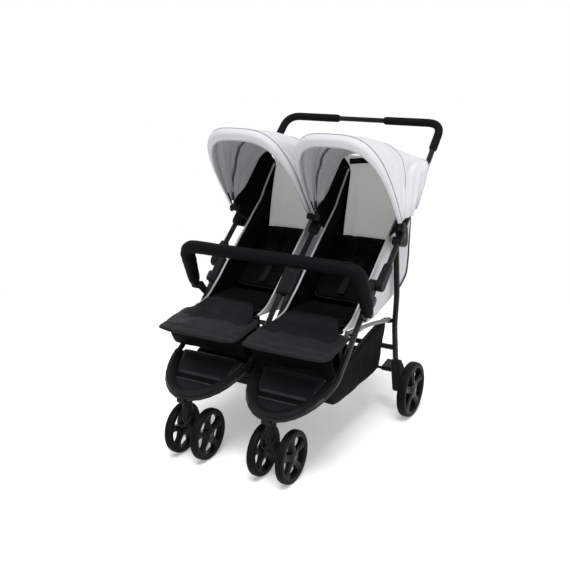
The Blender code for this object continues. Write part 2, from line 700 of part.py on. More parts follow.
def leg_y(z):
    """Where a rear leg stands at a height below its waist."""
    share = (z - LEG_FOOT[1]) / (LEG_WAIST[1] - LEG_FOOT[1])
    return LEG_FOOT[0] + (LEG_WAIST[0] - LEG_FOOT[0]) * share


def rear_cross_tube(mats):
    reach = LOWER_X - LEG_R - SEAM
    y = leg_y(REAR_CROSS_Z)
    rod("rear_cross_tube", (-reach, y, REAR_CROSS_Z), (reach, y, REAR_CROSS_Z), TUBE_R, mats["frame"], TUBE_SIDES)


def wheel_mount(side, s, mats):
    """The moulded foot of a rear leg, which carries the stub axle and the brake shaft."""
    outline = circle_hull([(LEG_FOOT[0] - 0.001, LEG_FOOT[1] + 0.028, 0.016), (REAR_Y, REAR_AXLE_Z, 0.019),
                           (REAR_Y + 0.012, REAR_AXLE_Z + 0.055, 0.014)])
    obj = soften(prism(f"wheel_mount_{side}", outline, s * (LOWER_X - 0.015), s * (LOWER_X + 0.018), mats["plastic"]),
                 0.003, 1)
    up = at(s * LOWER_X, LEG_WAIST) - at(s * LOWER_X, LEG_FOOT)
    low = at(s * LOWER_X, LEG_FOOT) - up.normalized() * SEAM
    bore = rod(f"leg_bore_{side}", low, low + up, LEG_R + SEAM, sides=TUBE_SIDES)
    axle = rod(f"stub_axle_{side}", (s * (LOWER_X + 0.010), REAR_Y, REAR_AXLE_Z),
               (s * (REAR_X + REAR_W * 0.28), REAR_Y, REAR_AXLE_Z), REAR_AXLE_R)
    brake_y, brake_z = REAR_Y + 0.012, REAR_AXLE_Z + 0.055
    hole = rod(f"brake_hole_{side}", (s * (LOWER_X - 0.03), brake_y, brake_z), (s * (LOWER_X + 0.010), brake_y, brake_z),
               0.005 + PIN_FIT)
    return cut(fuse(obj, axle), bore, hole)


def brake_bar(mats):
    """One shaft joins both brakes, with a foot paddle beside each wheel."""
    y, z = REAR_Y + 0.012, REAR_AXLE_Z + 0.055
    reach = LOWER_X + 0.009
    obj = rod("brake_bar", (-reach, y, z), (reach, y, z), 0.005, mats["plastic"])
    obj.data.transform(Matrix.Translation((0, -y, -z)))
    obj.location = (0, y, z)
    for name, s in SIDES:
        paddle = soften(prism(f"brake_paddle_{name}", circle_hull([(y, z, 0.009), (y + 0.050, z + 0.012, 0.006)], 12),
                              s * (LOWER_X - 0.070), s * (LOWER_X - 0.020)), 0.002, 1)
        fuse(obj, paddle)


def side_link(side, s, mats):
    """The bar between a front tube and a rear leg, thicker where its front socket holds it."""
    middle = ((LINK_FRONT[0] + LINK_REAR[0]) / 2, (LINK_FRONT[1] + LINK_REAR[1]) / 2 + 0.010)
    path = smooth([at(s * LINK_X, LINK_FRONT), at(s * LINK_X, along(LINK_FRONT, middle, 0.090)),
                   at(s * LINK_X, along(middle, LINK_REAR, 0.040)), at(s * LINK_X, LINK_REAR)], 4)
    radii = [LINK_R + 0.0025 if i < 5 else LINK_R for i in range(len(path))]
    obj = tube(f"side_link_{side}", path, radii, mats["link"], origin=at(s * LINK_X, LINK_FRONT))
    for name, point in (("front", LINK_FRONT), ("rear", LINK_REAR)):
        fuse(obj, rod(f"link_eye_{name}_{side}", at(s * (LINK_X - 0.007), point), at(s * (LINK_X + 0.007), point), 0.011,
                      sides=14))
    hole = rod(f"link_hole_{side}", at(s * (LINK_X - 0.02), LINK_FRONT), at(s * (LINK_X + 0.02), LINK_FRONT),
               0.004 + PIN_FIT, sides=10)
    return cut(obj, hole)


# Bumper bar
def bumper_socket(side, s, mats):
    """The clip on a front tube that the bumper bar turns in."""
    foot = along(FOLD, BEND, 0.122)
    outline = circle_hull([(*BUMPER_PIVOT, BUMPER_SOCKET_R), (*foot, 0.013)], 16)
    low = LOWER_X + TUBE_R + SEAM
    obj = soften(prism(f"bumper_socket_{side}", outline, s * low, s * (low + 0.008), mats["plastic"]), 0.002, 1)
    pin = rod(f"bumper_pin_{side}", at(s * (low + 0.003), BUMPER_PIVOT), at(s * (BUMPER_HALF + 0.006), BUMPER_PIVOT),
              0.005)
    return fuse(obj, pin)


def bumper_bar(mats):
    ends = [at(BUMPER_HALF, along(BUMPER_PIVOT, BUMPER_TOP, 0.004)), at(BUMPER_TOP_HALF, BUMPER_TOP),
            at(-BUMPER_TOP_HALF, BUMPER_TOP), at(-BUMPER_HALF, along(BUMPER_PIVOT, BUMPER_TOP, 0.004))]
    path = rounded(ends, BUMPER_BEND, 6)
    radii = [BUMPER_R] * len(path)
    radii[0] = radii[-1] = BUMPER_R - 0.006
    obj = tube("bumper_bar", path, radii, mats["charcoal"], 10, origin=at(0, BUMPER_PIVOT))
    for name, s in SIDES:
        low = LOWER_X + TUBE_R + SEAM + 0.008 + RUN
        eye = rod(f"bumper_eye_{name}", at(s * low, BUMPER_PIVOT), at(s * (BUMPER_HALF + 0.012), BUMPER_PIVOT), 0.014,
                  sides=16)
        fuse(obj, eye)
    for name, s in SIDES:
        cut(obj, rod(f"bumper_hole_{name}", at(s * (LOWER_X + 0.01), BUMPER_PIVOT),
                     at(s * (BUMPER_HALF + 0.0075), BUMPER_PIVOT), 0.005 + PIN_FIT))
    return obj


# Seats
def seat_cross_tube(mats):
    reach = LOWER_X - TUBE_R - RUN
    obj = rod("seat_cross_tube", at(-reach + 0.002, CROSS), at(reach - 0.002, CROSS), CROSS_R, mats["frame"])
    foot = (CROSS[0] + 0.020, CROSS[1] - 0.050)
    for name, s in SIDES:
        for label, edge in (("outer", s * reach), ("inner", s * (INNER_X + TUBE_R + RUN))):
            inward = -s if label == "outer" else s
            plate = prism(f"seat_bracket_{label}_{name}", circle_hull([(*CROSS, 0.0092), (*foot, 0.010)], 12),
                          edge, edge + inward * 0.005)
            fuse(obj, plate)


def cushion(name, half, front, back, low, thick, mat, crown, origin=None, channels=()):
    """A padded slab: its top is crowned and its sides draw in between the corners."""
    rows, cols = 12, 8
    bm = bmesh.new()
    centre = origin[0] if origin is not None else 0.0
    top, bottom = [], []
    for r in range(rows + 1):
        v = r / rows
        y = front + (back - front) * v
        line_top, line_bottom = [], []
        for c in range(cols + 1):
            u = 2 * c / cols - 1
            edge = (1 - u ** 4) * (1 - (2 * v - 1) ** 6)
            waist = 1 - 0.035 * (1 - (2 * v - 1) ** 2) * u ** 4
            dip = sum(0.004 * max(0.0, 1 - abs(v - k) * rows) for k in channels) * (1 - u ** 6)
            x = centre + u * half * waist
            line_top.append(Vector((x, y, low + thick * 0.55 + crown * edge - dip)))
            line_bottom.append(Vector((x, y, low)))
        top.append(line_top)
        bottom.append(line_bottom)
    top_v = [[bm.verts.new(p) for p in row] for row in top]
    low_v = [[bm.verts.new(p) for p in row] for row in bottom]
    for r in range(rows):
        for c in range(cols):
            bm.faces.new((top_v[r][c], top_v[r][c + 1], top_v[r + 1][c + 1], top_v[r + 1][c]))
    ring = [(0, c) for c in range(cols)] + [(r, cols) for r in range(rows)]
    ring += [(rows, c) for c in range(cols, 0, -1)] + [(r, 0) for r in range(rows, 0, -1)]
    for (r0, c0), (r1, c1) in zip(ring, ring[1:] + ring[:1]):
        bm.faces.new((top_v[r0][c0], low_v[r0][c0], low_v[r1][c1], top_v[r1][c1]))
    bm.faces.new([low_v[r][c] for r, c in ring])
    spare = [v for row in low_v for v in row if not v.link_faces]
    bmesh.ops.delete(bm, geom=spare, context="VERTS")
    return place(bm, name, mat, origin, sharp=60)


def seat_pad(side, s, mats):
    centre = s * SEAT_PITCH / 2
    return cushion(f"seat_pad_{side}", PAD_HALF, PAD_FRONT, PAD_BACK, PAD_LOW, PAD_THICK, mats["black"],
                   PAD_THICK * 0.45, origin=(centre, 0, PAD_LOW), channels=(1 / 3, 2 / 3))


def leg_rest(side, s, mats):
    centre = s * REST_X
    obj = cushion(f"leg_rest_{side}", REST_HALF, REST_BACK - REST_LENGTH, REST_BACK, CROSS_R + 0.0030, REST_THICK,
                  mats["charcoal"], REST_THICK * 0.45)
    obj.location = at(centre, CROSS)
    obj.rotation_euler = (radians(REST_TILT), 0, 0)
    return obj


def backrest(side, s, mats):
    """The padded back, built lying down and turned up about its hinge."""
    centre = s * SEAT_PITCH / 2
    length = hypot(BACK_TOP[0] - BACK_HINGE[0], BACK_TOP[1] - BACK_HINGE[1])
    obj = cushion(f"backrest_{side}", BACK_HALF, 0.012, length, -BACK_THICK / 2, BACK_THICK, mats["black"],
                  BACK_THICK * 0.45, channels=(0.25, 0.5, 0.75))
    lean = atan2(BACK_TOP[1] - BACK_HINGE[1], BACK_TOP[0] - BACK_HINGE[0])
    obj.location = at(centre, BACK_HINGE)
    obj.rotation_euler = (lean, 0, 0)
    return obj


def harness(side, s, mats):
    """Two shoulder straps from a bar behind the back's top down to one buckle."""
    centre = s * SEAT_PITCH / 2
    lean = atan2(BACK_TOP[1] - BACK_HINGE[1], BACK_TOP[0] - BACK_HINGE[0])
    skin = BACK_THICK * 0.5 + 0.0035
    high, low = 0.290, 0.100
    bm = bmesh.new()
    outline = []
    for x, y in ((-STRAP_HALF - STRAP_W / 2, high), (-STRAP_HALF + STRAP_W / 2, high),
                 (-BUCKLE_W * 0.20, low + 0.055), (BUCKLE_W * 0.20, low + 0.055),
                 (STRAP_HALF - STRAP_W / 2, high), (STRAP_HALF + STRAP_W / 2, high),
                 (BUCKLE_W / 2, low + 0.045), (BUCKLE_W / 2, low), (0.013, low - 0.012), (0.013, low - 0.060),
                 (-0.013, low - 0.060), (-0.013, low - 0.012), (-BUCKLE_W / 2, low), (-BUCKLE_W / 2, low + 0.045)):
        outline.append((x, y))
    rings = [[bm.verts.new((x, y, h)) for x, y in outline] for h in (skin, skin + STRAP_THICK)]
    bridge_rings(bm, rings)
    obj = place(bm, f"harness_{side}", mats["black"])
    obj.location = at(centre, BACK_HINGE)
    obj.rotation_euler = (lean, 0, 0)
    return obj


def seat_shell(side, s, mats):
    """The hanging cloth bucket of one seat: two sides, a floor and a back."""
    centre = s * SEAT_PITCH / 2
    floor = [(-0.213, 0.434), (-0.100, 0.432), (-0.010, 0.431), (0.058, 0.456), (0.130, 0.496), (0.230, 0.497),
             (0.300, 0.492), (0.334, 0.520), (0.339, 0.680), (0.334, 0.855)]
    rim = [(-0.209, 0.4405), (-0.150, 0.455), (-0.080, 0.504), (-0.012, 0.560), (0.056, 0.616), (0.130, 0.676),
           (0.180, 0.716), (0.212, 0.742), (0.250, 0.790), (0.310, 0.856)]
    grid, inner = [], []
    for (fy, fz), (ry, rz) in zip(floor, rim):
        row = []
        for share, x in ((1, 1), (0.55, 1), (0.16, 0.985), (0, 0.90), (0, 0.45), (0, 0)):
            row.append((x * SHELL_HALF, fy + (ry - fy) * share, fz + (rz - fz) * share))
        full = row + [(-x, y, z) for x, y, z in row[-2::-1]]
        grid.append([Vector((centre + x, y, z)) for x, y, z in full])
    for r, row in enumerate(grid):
        before, after = grid[max(r - 1, 0)], grid[min(r + 1, len(grid) - 1)]
        line = []
        for c, point in enumerate(row):
            along_row = row[min(c + 1, len(row) - 1)] - row[max(c - 1, 0)]
            normal = along_row.cross(after[c] - before[c]).normalized()
            line.append(point - normal * CLOTH if normal.dot(Vector((point.x - centre, 0, point.z - 0.9))) > 0
                        else point + normal * CLOTH)
        inner.append(line)
    return sheet_solid(f"seat_shell_{side}", grid, inner, mats["shell"])


def basket(mats):
    """The open cloth tray under the seats, hung between the front tubes and the rear cross tube."""
    floor = [(-0.262, 0.256), (-0.205, 0.190), (-0.120, 0.180), (0.000, 0.180), (0.085, 0.182), (0.138, 0.190),
             (0.147, 0.250)]
    rim = [(-0.266, 0.272), (-0.205, 0.300), (-0.110, 0.325), (-0.020, 0.340), (0.060, 0.345), (0.110, 0.340),
           (0.149, 0.330)]
    grid, inner = [], []
    for (fy, fz), (ry, rz) in zip(floor, rim):
        row = []
        for share, x in ((1, BASKET_HALF), (0.5, BASKET_HALF - 0.006), (0.10, BASKET_LOW_HALF), (0, BASKET_LOW_HALF - 0.03),
                         (0, BASKET_LOW_HALF / 2), (0, 0)):
            row.append((x, fy + (ry - fy) * share, fz + (rz - fz) * share))
        full = row + [(-x, y, z) for x, y, z in row[-2::-1]]
        grid.append([Vector(p) for p in full])
    for r, row in enumerate(grid):
        before, after = grid[max(r - 1, 0)], grid[min(r + 1, len(grid) - 1)]
        line = []
        for c, point in enumerate(row):
            across = row[min(c + 1, len(row) - 1)] - row[max(c - 1, 0)]
            normal = across.cross(after[c] - before[c]).normalized()
            outward = Vector((point.x, 0, point.z - 0.6))
            line.append(point - normal * CLOTH if normal.dot(outward) > 0 else point + normal * CLOTH)
        inner.append(line)
    return sheet_solid("basket", grid, inner, mats["black"])


# Canopies
def arch(centre, low, high, half, power, steps):
    """An arch across the seat from side to side, between two side-view points."""
    points = []
    for i in range(steps + 1):
        turn = -pi / 2 + pi * i / steps
        lift = abs(cos(turn)) ** (2 / power)
        x = half * (1 if turn > 0 else -1) * abs(sin(turn)) ** (2 / power)
        points.append(Vector((centre + x, low[0] + (high[0] - low[0]) * lift, low[1] + (high[1] - low[1]) * lift)))
    return points


def canopy_hoop(side, s, label, lean, reach, eye_x, mats):
    centre = s * CANOPY_X
    start, top = polar(CANOPY, lean, 0.010), polar(CANOPY, lean, reach)
    path = arch(centre, start, top, eye_x, 3.1, 14)
    path[0] = at(centre - eye_x, start)
    path[-1] = at(centre + eye_x, start)
    obj = tube(f"canopy_{label}_hoop_{side}", path, HOOP_R, mats["hoop"], 6, origin=at(centre, CANOPY))
    for name, t in SIDES:
        fuse(obj, rod(f"hoop_eye_{label}_{side}_{name}", at(centre + t * (eye_x - EYE_W / 2), CANOPY),
                      at(centre + t * (eye_x + EYE_W / 2), CANOPY), EYE_R, sides=12))
    for name, t in SIDES:
        cut(obj, rod(f"hoop_hole_{label}_{side}_{name}", at(centre + t * (eye_x - 0.008), CANOPY),
                     at(centre + t * (eye_x + 0.008), CANOPY), 0.004 + PIN_FIT, sides=10))
    return obj


def canopy_cloth(side, s, mats):
    """The hood: arches from the front brim over the hoops to the square back edge."""
    centre = s * CANOPY_X
    full = CANOPY_HALF
    stations = [(polar(CANOPY, 142, CANOPY_LOW), (-0.113, 0.990), 3.2, full - 0.012),
                (polar(CANOPY, 138, CANOPY_LOW), (-0.125, 1.014), 3.3, full - 0.002),
                (polar(CANOPY, 130, CANOPY_LOW), (-0.108, 1.028), 3.4, full),
                (polar(CANOPY, 113, CANOPY_LOW), (-0.040, 1.021), 3.4, full),
                (polar(CANOPY, 103, CANOPY_LOW), (0.035, 1.010), 3.4, full),
                (polar(CANOPY, 88, CANOPY_LOW + 0.002), (0.125, 0.992), 3.6, full),
                ((0.150, 0.742), (0.205, 0.968), 4.0, full), ((0.190, 0.746), (0.285, 0.936), 5.5, full),
                ((0.240, 0.751), (0.344, 0.910), 9.0, full)]
    grid, inner = [], []
    steps = 16
    for low, ridge, power, half in stations:
        high = tuple(c + (r - c) * CANOPY_SPAN for c, r in zip(CANOPY, ridge))
        grid.append(arch(centre, low, high, half, power, steps))
        span = hypot(high[0] - low[0], high[1] - low[1])
        inner.append(arch(centre, low, along(low, high, span - CLOTH), half - CLOTH, power, steps))
    return sheet_solid(f"canopy_{side}", grid, inner, mats["canopy"])


def clear_scene():
    for obj in list(bpy.data.objects):
        bpy.data.objects.remove(obj, do_unlink=True)


def main():
    clear_scene()
    mats = make_materials()
    for side, s in SIDES:
        front_tube(side, s, mats)
        footrest(side, s, mats)
        castor_socket(side, s, mats)
        castor_fork(side, s, mats)
        swivel_lock(side, s, mats)
        front_wheels(side, s, mats)
        knuckle_lower(side, s, mats)
        knuckle_upper(side, s, mats)
        fold_latch(side, s, mats)
        hub(side, s, mats)
        grip(side, s, mats)
        rear_leg(side, s, mats)
        wheel_mount(side, s, mats)
        wheel(f"rear_wheel_{side}", (s * REAR_X, REAR_Y, REAR_AXLE_Z), s, REAR_R, REAR_W, REAR_AXLE_R, mats["tyre"])
        side_link(side, s, mats)
        bumper_socket(side, s, mats)
        seat_pad(side, s, mats)
        seat_shell(side, s, mats)
        leg_rest(side, s, mats)
        backrest(side, s, mats)
        harness(side, s, mats)
        canopy_hoop(side, s, "front", HOOP_FRONT_DEG, HOOP_FRONT_REACH, EYE_FRONT, mats)
        canopy_hoop(side, s, "middle", HOOP_MIDDLE_DEG, HOOP_MIDDLE_REACH, EYE_MIDDLE, mats)
        canopy_cloth(side, s, mats)
    middle_joint(mats)
    hub_middle(mats)
    handle(mats)
    rear_cross_tube(mats)
    brake_bar(mats)
    bumper_bar(mats)
    seat_cross_tube(mats)
    basket(mats)
    for obj in bpy.data.objects:
        obj.location.y += LENGTH_SHIFT


main()
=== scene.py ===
# %% [markdown]
# # A double stroller, dressed over its CAD frame
# The imported model gives the hard frame, its joints and its collision shapes. This lesson adds what makes it
# look real: cloth, padding, foam, tyres, materials, a studio and a camera. Every soft piece is rebuilt here
# with finer shapes. Most are then tied to the body that carries them, so that they follow it in every pose;
# the hoods, the seat aprons and the calf flaps are baked where they are drawn and tied to no body.

# %% Tools and the frame
import math
import bmesh
import bpy
from mathutils import Matrix, Vector, noise


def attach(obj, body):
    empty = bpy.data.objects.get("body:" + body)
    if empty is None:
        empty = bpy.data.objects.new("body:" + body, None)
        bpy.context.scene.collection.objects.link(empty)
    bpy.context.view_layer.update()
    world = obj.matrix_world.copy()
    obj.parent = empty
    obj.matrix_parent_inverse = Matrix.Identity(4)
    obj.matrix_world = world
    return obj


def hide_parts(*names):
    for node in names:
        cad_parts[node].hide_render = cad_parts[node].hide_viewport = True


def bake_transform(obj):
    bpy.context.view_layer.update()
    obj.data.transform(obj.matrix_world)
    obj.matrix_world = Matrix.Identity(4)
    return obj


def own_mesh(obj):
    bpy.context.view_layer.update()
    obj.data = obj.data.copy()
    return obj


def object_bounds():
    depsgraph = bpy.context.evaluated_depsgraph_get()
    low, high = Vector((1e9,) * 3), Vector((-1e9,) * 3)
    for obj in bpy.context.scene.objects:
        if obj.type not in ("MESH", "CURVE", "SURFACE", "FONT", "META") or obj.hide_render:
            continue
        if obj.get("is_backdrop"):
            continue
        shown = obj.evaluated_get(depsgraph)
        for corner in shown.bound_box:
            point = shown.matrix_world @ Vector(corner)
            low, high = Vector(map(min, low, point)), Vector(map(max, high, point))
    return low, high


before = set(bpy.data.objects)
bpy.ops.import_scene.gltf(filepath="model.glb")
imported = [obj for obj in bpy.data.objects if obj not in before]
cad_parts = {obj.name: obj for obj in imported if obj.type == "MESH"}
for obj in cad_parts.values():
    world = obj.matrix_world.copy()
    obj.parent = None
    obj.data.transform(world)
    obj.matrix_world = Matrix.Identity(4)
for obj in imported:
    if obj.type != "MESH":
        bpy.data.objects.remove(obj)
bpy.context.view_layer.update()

# %% [markdown]
# ## Places that several pieces share
# All sizes are metres. A side-view point is a pair: y, which grows to the rear, and z, the height. The CAD
# was moved a few millimetres to centre it over its origin, and SHIFT makes the same move here. A size that
# only one piece needs is named in that piece's own cell.

# %% Shared places
SHIFT = -0.0058
SIDES = (("left", -1), ("right", 1))
SEAT_X = 0.155
HUB = (0.130, 0.680)
CANOPY = (0.107, 0.716)
CANOPY_X = 0.1695
CANOPY_HALF = 0.1665


def at(x, y, z):
    """A point given in the CAD's own numbers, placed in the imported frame."""
    return Vector((x, y + SHIFT, z))


def side_point(x, pair):
    return at(x, pair[0], pair[1])


print("seat middles at x", [s * SEAT_X for side, s in SIDES], "hood hinge at", CANOPY)

# %% [markdown]
# ## Node helpers
# A material is a small graph of nodes. Wired by hand, each node takes a few lines, so these helpers add a
# node, set it up and link its inputs in one call, and the materials below read almost like formulas.

# %% Node helpers
def feed(tree, node, **inputs):
    """Sets inputs: a value is stored, a socket is linked, and i0 or i1 means a socket by its number."""
    for key, value in inputs.items():
        numbered = key[0] == "i" and key[1:].isdigit()
        socket = node.inputs[int(key[1:])] if numbered else node.inputs[key.replace("_", " ")]
        if isinstance(value, bpy.types.NodeSocket):
            tree.links.new(value, socket)
        else:
            socket.default_value = value
    return node


def put(tree, kind, settings=None, **inputs):
    """Adds a node with its settings and its inputs."""
    node = tree.nodes.new(kind)
    for key, value in (settings or {}).items():
        setattr(node, key, value)
    return feed(tree, node, **inputs)


def maths(tree, operation, first, second=0.0):
    return put(tree, "ShaderNodeMath", {"operation": operation}, i0=first, i1=second).outputs[0]


def blend_colour(tree, factor, first, second, mode="MIX"):
    kind = {"data_type": "RGBA", "blend_type": mode}
    return put(tree, "ShaderNodeMix", kind, i0=factor, i6=first, i7=second).outputs[2]


def speckle(tree, place, scale, detail, distortion=0.0):
    node = put(tree, "ShaderNodeTexNoise", Vector=place, Scale=scale, Detail=detail, Distortion=distortion)
    return node.outputs["Fac"]


# %% [markdown]
# ## Shared surface effects
# Weave, grain, dust and wear turn up in many materials. Each is a node group, built once with named inputs
# and outputs and then placed in every material with that material's own values.

# %% Group helper
FLOAT, COLOUR, VECTOR = "NodeSocketFloat", "NodeSocketColor", "NodeSocketVector"


def new_group(name, inputs, outputs):
    tree = bpy.data.node_groups.new(name, "ShaderNodeTree")
    for label, kind, value in inputs:
        socket = tree.interface.new_socket(label, in_out="INPUT", socket_type=kind)
        if value is not None:
            socket.default_value = value
    for label, kind in outputs:
        tree.interface.new_socket(label, in_out="OUTPUT", socket_type=kind)
    print("group", name, "takes", [label for label, kind, value in inputs])
    return tree, tree.nodes.new("NodeGroupInput"), tree.nodes.new("NodeGroupOutput")


# %% [markdown]
# ### Weave
# Cloth is warp threads crossed by weft threads. Two sine waves at right angles, multiplied, give that
# chequer of highs and lows at the threads' real pitch, since the UVs are in metres. Fine noise frays the
# threads and mixes light fibres with dark ones, and slow noise adds the soft creases of used cloth.
# Modelled threads would need millions of faces, so the weave is a bump.

# %% Weave group
FIBRE, CLOUD, CREASE = 620.0, 26.0, 13.0
THREAD_HEIGHT, CREASE_HEIGHT = 0.35, 9.0

weave, gin, gout = new_group(
    "Weave", [("Vector", VECTOR, None), ("Color", COLOUR, (0.5, 0.5, 0.5, 1)), ("Pitch", FLOAT, 0.0012),
              ("Melange", FLOAT, 0.25), ("Rough", FLOAT, 0.80)],
    [("Color", COLOUR), ("Roughness", FLOAT), ("Height", FLOAT)])
place = gin.outputs["Vector"]
split = put(weave, "ShaderNodeSeparateXYZ", Vector=place)
turns = maths(weave, "DIVIDE", math.tau, gin.outputs["Pitch"])
warp = maths(weave, "SINE", maths(weave, "MULTIPLY", split.outputs["X"], turns))
weft = maths(weave, "SINE", maths(weave, "MULTIPLY", split.outputs["Y"], turns))
thread = maths(weave, "MULTIPLY", warp, weft)
fibre = speckle(weave, place, FIBRE, 2.0)
cloud = speckle(weave, place, CLOUD, 4.0)
mixed = maths(weave, "ADD", maths(weave, "MULTIPLY", fibre, 0.7), maths(weave, "MULTIPLY", cloud, 0.3))
speck = maths(weave, "MULTIPLY", mixed, gin.outputs["Melange"])
dark = blend_colour(weave, 1.0, gin.outputs["Color"], (0.45, 0.45, 0.45, 1), "MULTIPLY")
crease = speckle(weave, place, CREASE, 3.0, 1.4)
woven = maths(weave, "ADD", maths(weave, "MULTIPLY", thread, THREAD_HEIGHT), fibre)
feed(weave, gout, Color=blend_colour(weave, speck, gin.outputs["Color"], dark),
     Roughness=maths(weave, "ADD", maths(weave, "MULTIPLY", cloud, 0.12), gin.outputs["Rough"]),
     Height=maths(weave, "ADD", woven, maths(weave, "MULTIPLY", crease, CREASE_HEIGHT)))

# %% [markdown]
# ### Moulded grain
# The black plastic has a fine grain from its mould, and paint has a faint orange peel. A smooth cell
# pattern gives the pits, and broad noise makes the gloss a little uneven, as after handling.

# %% Grain group
SMEAR, SMEAR_GLOSS = 14.0, 0.16

grain, gin, gout = new_group(
    "Moulded grain", [("Vector", VECTOR, None), ("Color", COLOUR, (0.02, 0.02, 0.02, 1)),
                      ("Scale", FLOAT, 900.0), ("Gloss", FLOAT, 0.45)],
    [("Color", COLOUR), ("Roughness", FLOAT), ("Height", FLOAT)])
pits = put(grain, "ShaderNodeTexVoronoi", {"feature": "SMOOTH_F1"}, Vector=gin.outputs["Vector"],
           Scale=gin.outputs["Scale"]).outputs["Distance"]
smear = speckle(grain, gin.outputs["Vector"], SMEAR, 5.0)
lift = blend_colour(grain, 1.0, gin.outputs["Color"], (0.0015, 0.0015, 0.0015, 1), "ADD")
smooth = maths(grain, "SUBTRACT", gin.outputs["Gloss"], SMEAR_GLOSS / 2)
feed(grain, gout, Color=blend_colour(grain, smear, gin.outputs["Color"], lift), Height=pits,
     Roughness=maths(grain, "ADD", maths(grain, "MULTIPLY", smear, SMEAR_GLOSS), smooth))

# %% [markdown]
# ### Dust and edge wear
# Dust settles on faces that look up, in patches. Wear shows on convex edges, where hands and luggage rub:
# the pointiness of the surface finds them, and noise breaks the line into chips. Both are light here, since
# this stroller is new.

# %% Dust and wear groups
DUST_COLOUR = (0.11, 0.105, 0.10, 1)

dust, gin, gout = new_group(
    "Dust", [("Color", COLOUR, (0, 0, 0, 1)), ("Amount", FLOAT, 0.2)],
    [("Color", COLOUR)])
facing = put(dust, "ShaderNodeSeparateXYZ", Vector=dust.nodes.new("ShaderNodeNewGeometry").outputs["Normal"])
patch = speckle(dust, dust.nodes.new("ShaderNodeTexCoord").outputs["Object"], 34.0, 6.0)
upward = maths(dust, "MULTIPLY", maths(dust, "MAXIMUM", facing.outputs["Z"], 0.0), patch)
share = maths(dust, "MULTIPLY", upward, gin.outputs["Amount"])
feed(dust, gout, Color=blend_colour(dust, share, gin.outputs["Color"], DUST_COLOUR))

wear, gin, gout = new_group(
    "Edge wear", [("Color", COLOUR, (0, 0, 0, 1)), ("Bare", COLOUR, (0.2, 0.2, 0.2, 1)),
                  ("Amount", FLOAT, 0.3)],
    [("Color", COLOUR), ("Mask", FLOAT)])
point = wear.nodes.new("ShaderNodeNewGeometry").outputs["Pointiness"]
edge = put(wear, "ShaderNodeMapRange", Value=point, From_Min=0.52, From_Max=0.60).outputs[0]
chips = speckle(wear, wear.nodes.new("ShaderNodeTexCoord").outputs["Object"], 160.0, 3.0)
mask = maths(wear, "MULTIPLY", maths(wear, "MULTIPLY", edge, chips), gin.outputs["Amount"])
feed(wear, gout, Color=blend_colour(wear, mask, gin.outputs["Color"], gin.outputs["Bare"]), Mask=mask)

# %% [markdown]
# ## Cloth
# A plain grey Principled shader looks like card. Cloth needs its weave, a high roughness and a little
# sheen, which is the light that loose fibres catch at a flat angle. Thin cloth also glows when the light is
# behind it: the lining and the rear curtain get a small share of their own colour as emission for that.

# %% Cloth recipe
def start_material(name):
    mat = bpy.data.materials.new(name)
    mat.use_nodes = True
    return mat, mat.node_tree, mat.node_tree.nodes["Principled BSDF"]


def cloth(name, colour, pitch=0.0012, melange=0.25, relief=0.25, sheen=0.15, rough=0.80, shine=0.10,
          glow=0.0):
    mat, tree, bsdf = start_material(name)
    uv = put(tree, "ShaderNodeTexCoord").outputs["UV"]
    threads = put(tree, "ShaderNodeGroup", {"node_tree": weave}, Vector=uv, Color=(*colour, 1), Pitch=pitch,
                  Melange=melange, Rough=rough)
    bump = put(tree, "ShaderNodeBump", Height=threads.outputs["Height"], Strength=relief, Distance=0.0005)
    feed(tree, bsdf, Base_Color=threads.outputs["Color"], Roughness=threads.outputs["Roughness"],
         Normal=bump.outputs["Normal"], Sheen_Weight=sheen, Sheen_Roughness=0.6, Specular_IOR_Level=shine)
    if glow:
        feed(tree, bsdf, Emission_Color=threads.outputs["Color"], Emission_Strength=glow)
    return mat


# %% [markdown]
# The pale cloths are a cool light grey with a fine melange. The dark ones are nearly black, and differ
# mainly in gloss: the leg rests are a wipe-clean weave, the bumper cover is matt, and the seat lining
# swallows the light.

# %% The stroller's cloths
HOOD = cloth("hood_cloth", (0.72, 0.72, 0.76), melange=0.12, relief=0.30)
LINING = cloth("hood_lining", (0.52, 0.52, 0.55), melange=0.20, glow=0.12)
SHELL = cloth("shell_cloth", (0.60, 0.61, 0.65), melange=0.16)
CURTAIN = cloth("curtain_cloth", (0.66, 0.655, 0.63), melange=0.22, pitch=0.0016, glow=0.27)
BAND = cloth("hoop_band_cloth", (0.15, 0.15, 0.16), melange=0.20)
SEAM = cloth("seam_piping", (0.30, 0.30, 0.33), melange=0.2)
PALE_PIPING = cloth("pale_piping", (0.52, 0.52, 0.56), melange=0.2)
DARK_PIPING = cloth("dark_piping", (0.045, 0.046, 0.055), melange=0.2)
PIPING = cloth("piping_cloth", (0.008, 0.009, 0.010), melange=0.3, sheen=0.03, rough=0.6)
BLACK = cloth("black_cloth", (0.0022, 0.0022, 0.0028), melange=0.5, relief=0.40, sheen=0.0, rough=0.62,
              shine=0.045)
COVER = cloth("bumper_cloth", (0.0025, 0.0035, 0.0040), melange=0.4, pitch=0.0016, relief=0.30, sheen=0.0,
              rough=0.55, shine=0.06)
APRON = cloth("apron_cloth", (0.0050, 0.0064, 0.0074), melange=0.4, pitch=0.0016, relief=0.45, sheen=0.0,
              rough=0.50, shine=0.08)
CHARCOAL = cloth("charcoal_cloth", (0.0090, 0.0113, 0.0131), melange=0.5, pitch=0.0016, relief=0.60,
                 sheen=0.02, rough=0.42, shine=0.12)
WEB = cloth("webbing", (0.007, 0.007, 0.008), melange=0.3, pitch=0.0024, relief=0.5, sheen=0.03)
print("cloths", len(bpy.data.materials))

# %% [markdown]
# ## Paint, plastic, foam and rubber
# One recipe serves them all: grain, then wear on the edges, then dust. What sets them apart is their gloss,
# the size of the grain and a thin clear coat on the paint. The specular level is low, because real satin
# black parts reflect far less than the default shader does.

